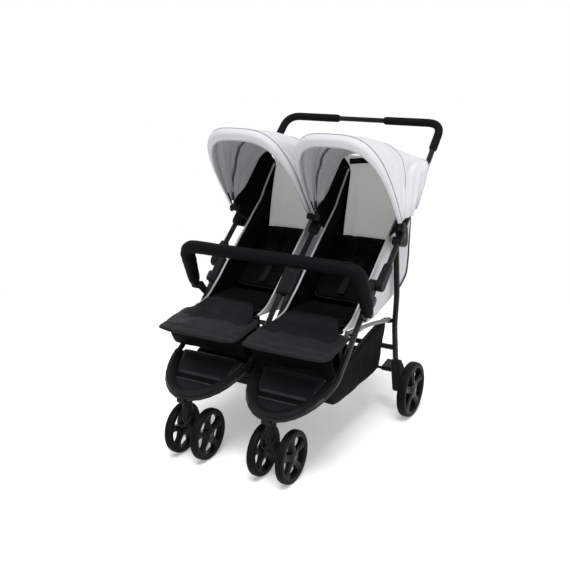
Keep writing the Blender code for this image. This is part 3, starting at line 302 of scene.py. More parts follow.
# %% Hard recipe
HARD_SHINE, COAT_ROUGHNESS = 0.07, 0.18
BARE = (0.3, 0.3, 0.3, 1)


def hard(name, colour, gloss, metallic=0.0, coat=0.0, scale=900.0, relief=0.10, worn=0.0, dusty=0.05):
    mat, tree, bsdf = start_material(name)
    spot = put(tree, "ShaderNodeTexCoord").outputs["Object"]
    skin = put(tree, "ShaderNodeGroup", {"node_tree": grain}, Vector=spot, Color=(*colour, 1), Scale=scale,
               Gloss=gloss)
    edges = put(tree, "ShaderNodeGroup", {"node_tree": wear}, Color=skin.outputs["Color"], Bare=BARE,
                Amount=worn)
    dirt = put(tree, "ShaderNodeGroup", {"node_tree": dust}, Color=edges.outputs["Color"], Amount=dusty)
    bump = put(tree, "ShaderNodeBump", Height=skin.outputs["Height"], Strength=relief, Distance=0.0004)
    feed(tree, bsdf, Base_Color=dirt.outputs["Color"], Roughness=skin.outputs["Roughness"],
         Normal=bump.outputs["Normal"], Metallic=metallic, Coat_Weight=coat, Coat_Roughness=COAT_ROUGHNESS,
         Specular_IOR_Level=HARD_SHINE)
    return mat


# %% The stroller's hard finishes
PAINT = hard("frame_paint", (0.003, 0.0035, 0.0042), 0.30, metallic=0.06, coat=0.14, scale=1500.0,
             relief=0.05, worn=0.07)
LINK = hard("link_paint", (0.200, 0.206, 0.212), 0.38, metallic=0.45, coat=0.08, scale=1500.0, relief=0.05)
PLASTIC = hard("black_plastic", (0.0045, 0.005, 0.006), 0.42, relief=0.18, worn=0.03)
TRAY = hard("tray_plastic", (0.004, 0.0045, 0.0055), 0.34, relief=0.10, worn=0.03, dusty=0.03)
# a near-black strip that paints the shade inside the tray's slot
SLOT_SHADE = hard("slot_painted_shade", (0.0006, 0.0006, 0.0007), 0.85, relief=0.0, dusty=0.0)
# lighter than the tray plastic: painted sheen for the light the leaning panel catches
PANEL_SHEEN = hard("tray_panel_painted_sheen", (0.017, 0.018, 0.022), 0.34, coat=0.05, relief=0.06, dusty=0.06)
CAPSULE = hard("latch_plastic", (0.030, 0.034, 0.038), 0.40, relief=0.12)
FOAM = hard("grip_foam", (0.0045, 0.005, 0.006), 0.86, scale=700.0, relief=0.45, dusty=0.04)
TYRE = hard("tyre_rubber", (0.0030, 0.0030, 0.0034), 0.55, scale=500.0, relief=0.25, dusty=0.05)
WHEEL = hard("wheel_plastic", (0.0028, 0.0032, 0.0036), 0.30, coat=0.06, relief=0.06, worn=0.03, dusty=0.02)
RIM = hard("rim_plastic", (0.006, 0.0065, 0.0075), 0.34, relief=0.06, dusty=0.02)
STEEL = hard("dark_steel", (0.07, 0.07, 0.075), 0.34, metallic=0.9, scale=2000.0, relief=0.04, dusty=0.05)
print("materials", len(bpy.data.materials))

# %% [markdown]
# ## Hoops in their sleeves
# The hood's hoops run in sleeves of pale cloth, but their ends at the hinge are bare black plastic.
# Splitting each hoop in two would be one way. It is simpler to change the colour of one material by height,
# because both hoops leave their sleeves at the same level.

# %% Hoop sleeve
SLEEVE_END = 0.775
SLEEVE_HEM = 0.003


def sleeved(name, colour):
    """Cloth on a hoop that stops above its black moulded ends."""
    mat = cloth(name, colour, melange=0.20)
    tree = mat.node_tree
    bsdf = tree.nodes["Principled BSDF"]
    spot = put(tree, "ShaderNodeTexCoord").outputs["Object"]
    height = put(tree, "ShaderNodeSeparateXYZ", Vector=spot).outputs["Z"]
    above = put(tree, "ShaderNodeMapRange", Value=height, From_Min=SLEEVE_END,
                From_Max=SLEEVE_END + SLEEVE_HEM)
    before = bsdf.inputs["Base Color"].links[0].from_socket
    feed(tree, bsdf, Base_Color=blend_colour(tree, above.outputs[0], (0.005, 0.0055, 0.006, 1), before))
    return mat


SLEEVE = sleeved("front_hoop_sleeve", (0.44, 0.44, 0.47))
print("sleeves end at height", SLEEVE_END)

# %% [markdown]
# ## The CAD nodes that stay in sight
# Tubes, knuckles, hubs and castor parts keep their CAD shape and only get a material. Their small facets
# are shaded smooth and their real edges stay sharp. Moulded parts never have knife edges, so a bevel
# modifier rounds theirs, which is what catches the light along them.

# %% Dress the CAD nodes
PAINTED = ("front_tube", "handle_tube", "middle_upper", "rear_leg", "rear_cross", "seat_cross", "brake_bar")
FINISHES = ((PAINTED, PAINT), ("side_link", LINK), ("footrest", TRAY), ("fold_latch", CAPSULE),
            ("swivel_lock", RIM))
MOULDED = (PLASTIC, CAPSULE, TRAY, RIM)
SHARP_ANGLE, BEVEL_ANGLE = math.radians(46), math.radians(48)
EDGE_WIDTH, EDGE_STEPS = 0.0022, 3


def finish_for(node_name):
    for starts, mat in FINISHES:
        if node_name.startswith(starts):
            return mat
    return SLEEVE if "hoop" in node_name else PLASTIC


for name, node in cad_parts.items():
    finish = finish_for(name)
    node.data.materials.clear()
    node.data.materials.append(finish)
    for polygon in node.data.polygons:
        polygon.use_smooth = True
        polygon.material_index = 0
    if node.data.has_custom_normals:
        with bpy.context.temp_override(object=node, active_object=node, selected_objects=[node]):
            bpy.ops.mesh.customdata_custom_splitnormals_clear()
    node.data.set_sharp_from_angle(angle=SHARP_ANGLE)
    if finish in MOULDED:
        edge = node.modifiers.new("moulded edge", "BEVEL")
        edge.width, edge.segments = EDGE_WIDTH, EDGE_STEPS
        edge.limit_method, edge.angle_limit = "ANGLE", BEVEL_ANGLE
print("bevelled", sum(1 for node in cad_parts.values() if node.modifiers.get("moulded edge")), "nodes")


# %% [markdown]
# ## From rows of points to a piece
# Most soft pieces are surfaces between rows of points. A smooth curve through a few key sections draws the
# rows, so a hood needs nine sections and not thousands of typed points. Every surface gets UVs in metres
# along the cloth, which is what gives the weave its true size.

# %% Build helper
def build(name, bm, materials, body=None, angle=42):
    """Makes a named piece of a finished mesh and ties it to the body that carries it."""
    mesh = bpy.data.meshes.new(name)
    bm.to_mesh(mesh)
    bm.free()
    for polygon in mesh.polygons:
        polygon.use_smooth = True
    mesh.set_sharp_from_angle(angle=math.radians(angle))
    for mat in materials:
        mesh.materials.append(mat)
    obj = bpy.data.objects.new(name, mesh)
    bpy.context.scene.collection.objects.link(obj)
    if body:
        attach(obj, body)
    return obj


def area_of(obj):
    return round(sum(p.area for p in obj.data.polygons), 4)


# %% Smooth curves
def through(keys, t):
    """A value on the smooth curve through the keys, each a tuple of numbers."""
    i = min(int(t), len(keys) - 2)
    u = t - i
    rows = [keys[max(i - 1, 0)], keys[i], keys[i + 1], keys[min(i + 2, len(keys) - 1)]]
    return tuple(0.5 * (2 * b + (c - a) * u + (2 * a - 5 * b + 4 * c - d) * u * u
                        + (3 * b - a - 3 * c + d) * u ** 3) for a, b, c, d in zip(*rows))


print("between keys 0, 1, 4 and 9 the curve passes", through([(0,), (1,), (4,), (9,)], 1.5)[0])

# %% Surface helpers
def lengths(rows):
    """UVs in metres: across from the middle of each row, and up along the middle column."""
    middle = len(rows[0]) // 2
    result, climb = [], 0.0
    for r, row in enumerate(rows):
        climb += (row[middle] - rows[r - 1][middle]).length if r else 0.0
        total, line = 0.0, [0.0]
        for a, b in zip(row, row[1:]):
            total += (b - a).length
            line.append(total)
        result.append([(x - total / 2, climb) for x in line])
    return result


def surface(bm, rows, closed=False, material=0, flip=False):
    """Quads between rows of points; a closed surface joins the end of each row to its start."""
    layer = bm.loops.layers.uv.verify()
    verts = [[bm.verts.new(p) for p in row] for row in rows]
    along = lengths(rows)
    count = len(rows[0])
    for r in range(len(rows) - 1):
        for c in range(count if closed else count - 1):
            corners = [(r, c), (r, (c + 1) % count), (r + 1, (c + 1) % count), (r + 1, c)]
            if flip:
                corners.reverse()
            face = bm.faces.new([verts[i][j] for i, j in corners])
            face.material_index = material
            for loop, (i, j) in zip(face.loops, corners):
                around = closed and c == count - 1 and j == 0
                loop[layer].uv = (along[i][-1][0] + 0.002, along[i][j][1]) if around else along[i][j]
    return verts


def flat_size(rows):
    """How wide and how long the cloth would lie flat: its longest row and its middle column."""
    middle = len(rows[0]) // 2
    width = max(sum((b - a).length for a, b in zip(row, row[1:])) for row in rows)
    length = sum((b[middle] - a[middle]).length for a, b in zip(rows, rows[1:]))
    return round(width, 3), round(length, 3)


def seal(bm, gap=1e-7):
    """Welds a closed surface along its seam and turns its faces outward."""
    bmesh.ops.remove_doubles(bm, verts=bm.verts[:], dist=gap)
    bmesh.ops.recalc_face_normals(bm, faces=bm.faces[:])


# %% [markdown]
# ## Thickness and unevenness
# A sheet is modelled as one skin. The Solidify modifier then gives it its real thickness, with the lining's
# own material inside, and keeps the source mesh simple. Cloth also needs to be a little uneven in its shape
# and not only in its shading, so slow noise moves its points by a few millimetres.

# %% Thickness and wrinkles
def solidify(obj, thick, second=None, offset=-1.0):
    mod = obj.modifiers.new("thickness", "SOLIDIFY")
    mod.thickness = thick
    mod.offset = offset
    mod.use_even_offset = False
    if second is not None:
        obj.data.materials.append(second)
        mod.material_offset = 1
    return mod


def wrinkle(p, size, scale=(1, 1, 1), seed=0.0):
    q = Vector((p.x * scale[0], p.y * scale[1], p.z * scale[2])) / size
    return noise.noise(q + Vector((seed, seed * 0.7, -seed)))


def bell(distance, width):
    """1 at no distance, and down to nothing at about twice the width."""
    return math.exp(-(distance / width) ** 2)


def ramp(value, start, length):
    """0 up to start, 1 beyond start plus length, and straight between them."""
    return min(max((value - start) / length, 0), 1)


print("a bell is", round(bell(1, 1), 3), "at its width and", round(bell(2, 1), 3), "at twice that")

# %% [markdown]
# ## Cords, ribbons and turned parts
# Piping and binding are thin round cords along an edge. Webbing is a flat strap. Both need a frame at each
# point of their path that turns as little as possible, or they would twist; a curve object with a bevel
# would do the same, but its UVs couldn't be set in metres. Wheels and rivets are turned on a lathe from a
# half section.

# %% Paths
def path_frames(points, closed=False):
    """Tangent, side and up at each point, carried along so that they don't twist."""
    count = len(points)
    side, result = None, []
    for i in range(count):
        before = points[i - 1] if i or closed else points[0]
        after = points[(i + 1) % count] if i < count - 1 or closed else points[-1]
        tangent = (after - before).normalized()
        if side is None:
            side = Vector((1, 0, 0)).cross(tangent)
            if side.length < 0.2:
                side = Vector((0, 0, 1)).cross(tangent)
        side = (side - tangent * side.dot(tangent)).normalized()
        result.append((tangent, side, tangent.cross(side)))
    return result


def rounded(points, radius, steps=8):
    """A path whose inner corners are arcs of about the given radius."""
    path = [points[0]]
    for before, corner, after in zip(points, points[1:], points[2:]):
        into, out = (corner - before).normalized(), (after - corner).normalized()
        cut = radius * math.tan(into.angle(out) / 2)
        start, end = corner - into * cut, corner + out * cut
        for i in range(steps + 1):
            t = i / steps
            path.append(start.lerp(corner, t).lerp(corner.lerp(end, t), t))
    return path + [points[-1]]


def even(points, step):
    """The same path with points about a step apart."""
    result = [points[0]]
    for a, b in zip(points, points[1:]):
        count = max(1, round((b - a).length / step))
        result += [a.lerp(b, i / count) for i in range(1, count + 1)]
    return result


corner = [Vector((0, 0, 0)), Vector((0, 0, 1)), Vector((0, 1, 1))]
print("one rounded corner takes", len(rounded(corner, 0.2)), "points")

# %% Cords
# the domed end: share of the radius, share of the radius beyond the last point
CORD_END = ((0.86, 0.22), (0.5, 0.36), (0.02, 0.42))


def cord_rows(points, radius, sides=12, closed=False):
    """Rings along a path, domed at its ends; the radius is a number or a function of the path's share."""
    size = radius if callable(radius) else (lambda share: radius)
    frames = path_frames(points, closed)
    angles = [math.tau * k / sides for k in range(sides)]
    last = len(points) - 1
    rows = []
    for i, (p, (tangent, side, up)) in enumerate(zip(points, frames)):
        r = size(i / last)
        rows.append([p + side * (r * math.cos(a)) + up * (r * math.sin(a)) for a in angles])
    if closed:
        return rows
    for end, sign in ((0, -1), (-1, 1)):
        p, (tangent, side, up), r = points[end], frames[end], size(0 if end == 0 else 1)
        for share, out in CORD_END:
            ring = [p + tangent * (sign * r * out) + (side * math.cos(a) + up * math.sin(a)) * (r * share)
                    for a in angles]
            rows.insert(0 if end == 0 else len(rows), ring)
    return rows


def cord(name, points, radius, mat, body=None, sides=12, closed=False):
    bm = bmesh.new()
    rows = cord_rows(points, radius, sides, closed)
    if closed:
        rows.append(rows[0])
    surface(bm, rows, closed=True)
    seal(bm)
    return build(name, bm, [mat], body)


# %% Ribbons
STRAP_SECTION = ((-1, 0), (-0.96, 1), (-0.3, 1), (0.3, 1), (0.96, 1), (1, 0), (0.96, -1), (-0.96, -1))


def ribbon(name, points, across, width, thick, mat, body=None):
    """A flat strap along a path; across gives the direction of its width."""
    rows = []
    for i, p in enumerate(points):
        tangent = (points[min(i + 1, len(points) - 1)] - points[max(i - 1, 0)]).normalized()
        wide = (across - tangent * across.dot(tangent)).normalized()
        up = tangent.cross(wide)
        rows.append([p + wide * (a * width / 2) + up * (b * thick / 2) for a, b in STRAP_SECTION])
    bm = bmesh.new()
    verts = surface(bm, rows, closed=True)
    bm.faces.new(verts[0])
    bm.faces.new(verts[-1][::-1])
    bmesh.ops.recalc_face_normals(bm, faces=bm.faces[:])
    return build(name, bm, [mat], body)


# %% Lathe
def lathe(bm, profile, centre, steps, material=0, closed=False, outward=1):
    """Turns (along x, radius) pairs round the X axis through a centre; outward gives the sign of x."""
    rows = []
    for i in range(steps + 1):
        turn = math.tau * i / steps
        rows.append([centre + Vector((a * outward, r * math.cos(turn), r * math.sin(turn)))
                     for a, r in profile])
    surface(bm, rows, closed=closed, material=material)


# %% [markdown]
# ## Hoods: the arches
# A hood is one sheet of cloth sewn from panels and stretched over two hoops. Its front ends in a wide
# rolled brim that is broadest over the child's head and narrows to the hinge. A cloth simulation could
# drape it, but it would have to be tuned for every pose, so the sheet is drawn: nine arches from the brim
# to the rear hem, each a superellipse whose power says how square its corners are.

# %% Hood arches
def polar(centre, degrees, reach):
    turn = math.radians(degrees)
    return (centre[0] + reach * math.cos(turn), centre[1] + reach * math.sin(turn))


# each arch: y and z of its feet, y and z of its crown, squareness, half its width
HOOD_KEYS = [(*polar(CANOPY, 142, 0.024), -0.112, 0.990, 3.2, CANOPY_HALF - 0.012),
             (*polar(CANOPY, 138, 0.024), -0.125, 1.014, 3.3, CANOPY_HALF - 0.002),
             (*polar(CANOPY, 130, 0.024), -0.108, 1.028, 3.4, CANOPY_HALF),
             (*polar(CANOPY, 113, 0.024), -0.040, 1.023, 3.4, CANOPY_HALF),
             (*polar(CANOPY, 103, 0.024), 0.035, 1.010, 3.4, CANOPY_HALF),
             (*polar(CANOPY, 88, 0.026), 0.125, 0.991, 3.6, CANOPY_HALF),
             (0.150, 0.742, 0.205, 0.968, 4.0, CANOPY_HALF),
             (0.174, 0.742, 0.285, 0.937, 5.5, CANOPY_HALF),
             (0.214, 0.758, 0.344, 0.910, 9.0, CANOPY_HALF)]
HOOD_COLUMNS, HOOD_STEPS = 72, 9
print("hood arches", len(HOOD_KEYS), "rows", (len(HOOD_KEYS) - 1) * HOOD_STEPS + 1)

# %% [markdown]
# ## Hoods: sag, pleats and creases
# Between its hoops the cloth sags a little. It is gathered into pleats near the hinge and at the square
# rear corners, and eight soft creases run where it is pulled round the hoops. Their places are chosen one
# by one from the photograph, because noise alone never looks like cloth under tension.

# %% Hood creases
# each crease: place along the arches, place on the arch, direction, length, width and depth in metres
HOOD_CREASES = [(3.2, 1.05, 0.9, 0.050, 0.011, 0.0036), (4.2, 0.80, 0.3, 0.060, 0.013, -0.0030),
                (4.6, 1.22, 1.2, 0.045, 0.010, 0.0034), (5.9, 1.00, -0.5, 0.060, 0.013, 0.0042),
                (6.7, 1.22, -0.9, 0.055, 0.012, -0.0040), (6.2, 0.62, 0.2, 0.070, 0.015, 0.0030),
                (3.8, 0.35, 0.5, 0.060, 0.015, 0.0022), (7.2, 0.90, 1.3, 0.050, 0.012, 0.0036)]
CREASE_DEPTH = 1.9
ARCH_GAP, TURN_REACH = 0.065, 0.17


def hood_crease(v, turn, s):
    depth = 0.0
    side = math.copysign(1, turn)
    for v0, t0, lean, long, wide, deep in HOOD_CREASES:
        a = (v - v0 - 0.25 * side * s) * ARCH_GAP
        b = (abs(turn) - t0) * TURN_REACH
        along, across = a * math.cos(lean) + b * math.sin(lean), b * math.cos(lean) - a * math.sin(lean)
        depth += CREASE_DEPTH * deep * math.exp(-(across / wide) ** 2 - (along / long) ** 2)
    return depth


print("creases", len(HOOD_CREASES), "deepest", round(CREASE_DEPTH * max(c[5] for c in HOOD_CREASES), 4))

# %% Hood sag
SAG, UNEVEN, CORNER_PLEAT, HINGE_PLEAT = 0.0060, 0.0026, 0.0095, 0.0042


def hood_sag(p, v, turn, s):
    """How far the cloth lies inside its ideal arch at place v along the hood."""
    side = abs(math.sin(turn))
    between = math.sin(math.pi * ramp(v, 4.0, 4.0)) + 0.5 * math.sin(math.pi * ramp(v, 2.4, 1.6))
    sag = SAG * between * (1 - side ** 6)
    sag += UNEVEN * wrinkle(p, 0.055, (1, 2.2, 1), s) * (0.25 + 0.75 * side) * min(v / 3, 1)
    corner = max(0.0, (v - 5.2) / 2.8) * max(0.0, side - 0.35)
    sag += CORNER_PLEAT * corner * math.sin(v * 5.2 + abs(turn) * 7.0 + s)
    gather = bell(abs(turn) - 1.42, 0.20) * ramp(v, 3.2, 1.4)
    sag += HINGE_PLEAT * gather * math.sin(v * 6.1 + 0.7 * s)
    return sag + hood_crease(v, turn, s)


# %% Hood rows
def hood_row(s, v, inward=0.0):
    """One arch of the hood at place v along the keys, as points from the left side to the right."""
    low_y, low_z, high_y, high_z, power, half = through(HOOD_KEYS, v)
    reach = math.hypot(high_y - low_y, high_z - low_z)
    keep = (reach - inward) / reach
    high_y, high_z = low_y + (high_y - low_y) * keep, low_z + (high_z - low_z) * keep
    hub = at(s * CANOPY_X, CANOPY[0] + 0.02, CANOPY[1] + 0.03)
    points = []
    for i in range(HOOD_COLUMNS + 1):
        turn = -math.pi / 2 + math.pi * i / HOOD_COLUMNS
        lift = abs(math.cos(turn)) ** (2 / power)
        x = (half - inward) * math.copysign(abs(math.sin(turn)) ** (2 / power), turn)
        p = at(s * CANOPY_X + x, low_y + (high_y - low_y) * lift, low_z + (high_z - low_z) * lift)
        points.append(p + (hub - p).normalized() * hood_sag(p, v, turn, s))
    return points


print("the brim's crown is at height", round(max(p.z for p in hood_row(-1, 0)), 3))

# %% [markdown]
# ## Hoods: sewing and placing
# The middle hoop turns half as far as the front one. The hood and its trims are baked where they are drawn
# and tied to no body, so they stay put when the hoops turn. Piping marks the seams, and a dark band inside
# shows where the middle hoop's sleeve is sewn.

# %% Hoods
HOOD_THICK = 0.0016
HOOD_TRIMS = (("brim_edge", 0.0, 0.0020, PALE_PIPING), ("brim_seam", 2.05, 0.0017, SEAM),
              ("hinge_seam", 5.1, 0.0013, SEAM), ("back_hem", 8.0, 0.0018, PALE_PIPING))
BAND_PLACE, BAND_WIDTH, BAND_THICK, BAND_INSIDE = 5.0, 0.015, 0.0014, 0.0050


def follow_hoops(obj):
    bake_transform(obj)


def hood_cloth(side, s):
    rows = [hood_row(s, v / HOOD_STEPS) for v in range((len(HOOD_KEYS) - 1) * HOOD_STEPS + 1)]
    bm = bmesh.new()
    surface(bm, rows)
    hood = build(f"hood_{side}", bm, [HOOD])
    solidify(hood, HOOD_THICK, LINING)
    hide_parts(f"canopy_{side}")
    follow_hoops(hood)
    print("hood", side, "flat", flat_size(rows), "area", area_of(hood))


def hood_trims(side, s):
    for label, v, size, mat in HOOD_TRIMS:
        trim = cord(f"hood_{label}_{side}", hood_row(s, v, -0.0004), size, mat, sides=8)
        follow_hoops(trim)
    low_y, low_z, high_y, high_z = through(HOOD_KEYS, BAND_PLACE)[:4]
    line = even(hood_row(s, BAND_PLACE, BAND_INSIDE), 0.008)
    across = Vector((0, high_z - low_z, low_y - high_y))
    band = ribbon(f"hood_band_{side}", line, across, BAND_WIDTH, BAND_THICK, BAND)
    follow_hoops(band)


for side, s in SIDES:
    hood_cloth(side, s)
    hood_trims(side, s)

# %% [markdown]
# ## Seat shells
# Each seat hangs in a cloth bucket that is pale outside, black inside and bound along its edges. In side
# view it is a deep hammock between the front tube and the rear; in section it is a U with firm corners. One
# U shape is moved along ten key places, given by its floor and its rim.

# %% Shell rows
# each key: y and z of the floor, y and z of the rim
SHELL_KEYS = [(-0.213, 0.434, -0.209, 0.4405), (-0.100, 0.420, -0.150, 0.455), (-0.010, 0.406, -0.080, 0.504),
              (0.058, 0.404, -0.012, 0.560), (0.130, 0.416, 0.056, 0.616), (0.228, 0.436, 0.130, 0.676),
              (0.298, 0.466, 0.180, 0.716), (0.333, 0.512, 0.212, 0.742), (0.339, 0.680, 0.250, 0.790),
              (0.334, 0.855, 0.310, 0.856)]
SHELL_HALF = 0.119
# half of the U, from the rim down to the middle of the floor: share of the height, share of the half width
SHELL_LINE = [(1, 1), (0.86, 1.005), (0.70, 1.012), (0.55, 1.012), (0.40, 1.006), (0.26, 0.995),
              (0.14, 0.975), (0.05, 0.94), (0.0, 0.86), (-0.02, 0.6), (-0.03, 0.3), (-0.03, 0.0)]


def mirrored(line):
    """The half section and its mirror image, which share the middle point."""
    return line + [(share, -x) for share, x in line[-2::-1]]


def shell_row(s, v, outward=0.0):
    floor_y, floor_z, rim_y, rim_z = through(SHELL_KEYS, v)
    points = []
    for share, x in mirrored(SHELL_LINE):
        p = at(s * SEAT_X + x * (SHELL_HALF + outward), floor_y + (rim_y - floor_y) * share,
               floor_z + (rim_z - floor_z) * share)
        free = 1 - abs(2 * share - 1) ** 3 if share > 0 else 0.5
        points.append(p + Vector((math.copysign(1, x) * 0.0035 * free * wrinkle(p, 0.06, (1, 1, 2), 3 + s), 0,
                                  0.002 * wrinkle(p, 0.05, seed=5 + s))))
    return points


print("shell sections", len(SHELL_KEYS), "with", len(mirrored(SHELL_LINE)), "points each")

# %% Seat shells
SHELL_STEPS, SHELL_THICK = 5, 0.0022
SEAM_START, SEAM_POINTS, SEAM_COLUMN = 5.4, 22, 7


def shell_trims(side, s, rows):
    trims = []

    def trim(name, line, size, mat, slot):
        trims.append(cord(name, line, size, mat, "front_frame", sides=8))

    for label, column, seam_column in (("left", 0, SEAM_COLUMN), ("right", -1, -1 - SEAM_COLUMN)):
        trim(f"shell_binding_{side}_{label}", [row[column] for row in rows], 0.0034, PALE_PIPING, "shell")
        seam = [shell_row(s, SEAM_START + k / 6, 0.0030)[seam_column] for k in range(SEAM_POINTS)]
        trim(f"shell_back_seam_{side}_{label}", seam, 0.0030, DARK_PIPING, "shell")
    trim(f"shell_back_binding_{side}", rows[-1], 0.0030, PIPING, "black")
    front = [p + Vector((0, 0.0005, 0.0012)) for p in rows[0]]
    trim(f"shell_front_binding_{side}", front, 0.0040, PIPING, "black")
    return trims


def seat_shell(side, s):
    rows = [shell_row(s, v / SHELL_STEPS) for v in range((len(SHELL_KEYS) - 1) * SHELL_STEPS + 1)]
    bm = bmesh.new()
    surface(bm, rows)
    shell = build(f"shell_{side}", bm, [SHELL], "front_frame")
    solidify(shell, SHELL_THICK, BLACK)
    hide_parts(f"seat_shell_{side}")
    for piece in [shell] + shell_trims(side, s, rows):
        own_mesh(piece)
    print("shell", side, "flat", flat_size(rows), "area", area_of(shell))


# %% [markdown]
# ## Side flaps
# A narrow flap on each side closes the gap between the hood's lower edge and the shell, and keeps the wind
# off the child's head. It is a ruled surface: straight threads from the shell's rim line to the hood's edge
# line.

# %% Side flaps
HOOD_EDGE = [(0.098, 0.716), (0.128, 0.748), (0.196, 0.782), (0.250, 0.832), (0.296, 0.874), (0.338, 0.908)]
SHELL_EDGE = [(0.128, 0.672), (0.148, 0.688), (0.190, 0.722), (0.236, 0.770), (0.285, 0.825), (0.330, 0.858)]
FLAP_ROWS, FLAP_COLUMNS, ROWS_PER_KEY = 20, 8, 4
FLAP_FOOT_HALF, HOOD_INSET, FLAP_THICK = 0.1215, 0.004, 0.0014


def side_flaps(side, s):
    for label, t in SIDES:
        rows = []
        for k in range(FLAP_ROWS + 1):
            v = k / ROWS_PER_KEY
            low = side_point(s * SEAT_X + t * FLAP_FOOT_HALF, through(SHELL_EDGE, v))
            high = side_point(s * CANOPY_X + t * (CANOPY_HALF - HOOD_INSET), through(HOOD_EDGE, v))
            rows.append([low.lerp(high, j / FLAP_COLUMNS) for j in range(FLAP_COLUMNS + 1)])
        bm = bmesh.new()
        surface(bm, rows, flip=t > 0)
        flap = build(f"side_flap_{side}_{label}", bm, [SHELL], "upper_frame")
        solidify(flap, FLAP_THICK, BLACK).material_offset_rim = 1
        print("side flap", side, label, "area", area_of(flap))


# %% [markdown]
# ## Rear curtains
# Behind the child's head a light curtain hangs from the hood's rear edge down to the top of the backrest.
# It is widest where it is sewn on, it hangs in shallow folds, and a short black strap holds it when it is
# rolled up.

# %% Rear curtains
CURTAIN_TOP, CURTAIN_HALF, CURTAIN_FLARE = (0.334, 0.904), 0.106, 0.046
CURTAIN_FORWARD, CURTAIN_DROP, CURTAIN_THICK = 0.072, 0.274, 0.0012
CURTAIN_ROWS, CURTAIN_COLUMNS = 24, 32
HOLDER_WIDTH, HOLDER_THICK = 0.020, 0.0022


def curtain_row(s, t):
    y, z = CURTAIN_TOP[0] - CURTAIN_FORWARD * t ** 0.8, CURTAIN_TOP[1] - CURTAIN_DROP * t
    half = CURTAIN_HALF + CURTAIN_FLARE * max(0.0, 1 - t * 4.5) ** 2
    row = []
    for i in range(CURTAIN_COLUMNS + 1):
        u = -1 + 2 * i / CURTAIN_COLUMNS
        p = at(s * SEAT_X + u * half, y, z)
        fold = 0.004 * math.sin(u * 8 + s + t) * (0.3 + 0.7 * t)
        p.y += fold + 0.008 * wrinkle(p, 0.07, (1, 1, 0.4), 9 + s) - 0.012 * u * u
        p.y -= 0.006 * bell(u + 0.72 - 0.15 * t, 0.09) * min(1, 3 * t)
        row.append(p)
    return row


def rear_curtain(side, s):
    rows = [curtain_row(s, j / CURTAIN_ROWS) for j in range(CURTAIN_ROWS + 1)]
    bm = bmesh.new()
    surface(bm, rows)
    curtain = build(f"curtain_{side}", bm, [CURTAIN], "upper_frame")
    solidify(curtain, CURTAIN_THICK)
    line = [at(s * SEAT_X - 0.075 + u * 0.010, 0.314 - 0.0003 * u * u, 0.890 + 0.0012 * u)
            for u in range(-4, 5)]
    ribbon(f"hood_strap_{side}", line, Vector((0, 0.25, 1)), HOLDER_WIDTH, HOLDER_THICK, WEB, "upper_frame")
    hem = cord(f"curtain_hem_{side}", rows[-1], 0.0018, CURTAIN, "upper_frame", sides=8)
    for piece in (curtain, hem):
        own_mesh(piece)
    print("curtain", side, "flat", flat_size(rows), "area", area_of(curtain))


for side, s in SIDES:
    seat_shell(side, s)
    side_flaps(side, s)
    rear_curtain(side, s)

# %% [markdown]
# ## Pads
# Every pad is two crowned faces sewn together along a piped seam. The faces rise steeply at the seam and
# flatten out in the middle, as foam inside a cover does. Sewn channels pull them back down, and the seam's
# edge puckers a little. A bevelled box would have the size of a cushion and none of this softness.

# %% Pad surface
CHANNEL_DEPTH, CHANNEL_WIDTH = 0.0050, 0.0048
CROSS_DEPTH, CROSS_WIDTH = 0.0055, 0.0050
PUCKER, LOOSE_COVER = 0.0011, 0.0016


def spread(k, count):
    """Shares from -1 to 1 that lie closer together near the seam."""
    t = -1 + 2 * k / count
    return 0.55 * t + 0.45 * math.sin(t * math.pi / 2)


def pad_height(u, v, x, y, size, top, bottom, sign, channels, cross, seed, loose):
    """Height over the seam at shares u and v of the pad, on its upper or lower face."""
    half, middle, depth = size
    rise = max(0.0, (1 - abs(u) ** 7) * (1 - abs(v) ** 6)) ** 0.42
    height = (top if sign > 0 else bottom) * rise * (0.86 + 0.14 * (1 - u * u) * (1 - v * v))
    if sign < 0:
        return height
    for share in channels:
        height -= CHANNEL_DEPTH * bell(x - share * half, CHANNEL_WIDTH) * rise
    for share in cross:
        height -= CROSS_DEPTH * bell(y - middle - share * depth, CROSS_WIDTH) * rise
    edge = 1 - min(1.0, min(1 - abs(u), 1 - abs(v)) * 7)
    height += PUCKER * edge * math.sin((x * 95 if abs(v) > abs(u) else y * 95) + seed)
    return height + loose * LOOSE_COVER * noise.noise(Vector((x, y, seed)) / 0.045) * rise


print("eight columns of a pad lie at", [round(spread(k, 8), 2) for k in range(9)])

# %% Pad mesh
def pad_mesh(half, front, back, top, bottom, corner, channels=(), cross=(), seed=0.0, steps=(44, 34),
             loose=1.0):
    """A cushion lying in its own plane with its seam at height 0; returns the mesh and the seam's points."""
    bm = bmesh.new()
    layer = bm.loops.layers.uv.verify()
    middle, depth = (front + back) / 2, (back - front) / 2
    columns, rows = steps

    def place(i, j, sign):
        u, v = spread(i, columns), spread(j, rows)
        pull = corner * (abs(u) * abs(v)) ** 5
        x, y = half * u * (1 - pull), middle + depth * v * (1 - pull * half / depth)
        size = (half, middle, depth)
        height = pad_height(u, v, x, y, size, top, bottom, sign, channels, cross, seed, loose)
        return Vector((x, y, sign * height))

    upper = {}
    for sign in (1, -1):
        grid = {}
        for i in range(columns + 1):
            for j in range(rows + 1):
                on_seam = i in (0, columns) or j in (0, rows)
                grid[i, j] = upper[i, j] if on_seam and sign < 0 else bm.verts.new(place(i, j, sign))
        if sign > 0:
            upper = grid
        for i in range(columns):
            for j in range(rows):
                loop = [(i, j), (i + 1, j), (i + 1, j + 1), (i, j + 1)]
                face = bm.faces.new([grid[k] for k in (loop if sign > 0 else loop[::-1])])
                for corner_loop in face.loops:
                    corner_loop[layer].uv = corner_loop.vert.co.xy
    ring = [(i, 0) for i in range(columns)] + [(columns, j) for j in range(rows)]
    ring += [(i, rows) for i in range(columns, 0, -1)] + [(0, j) for j in range(rows, 0, -1)]
    return bm, [upper[k].co.copy() for k in ring]


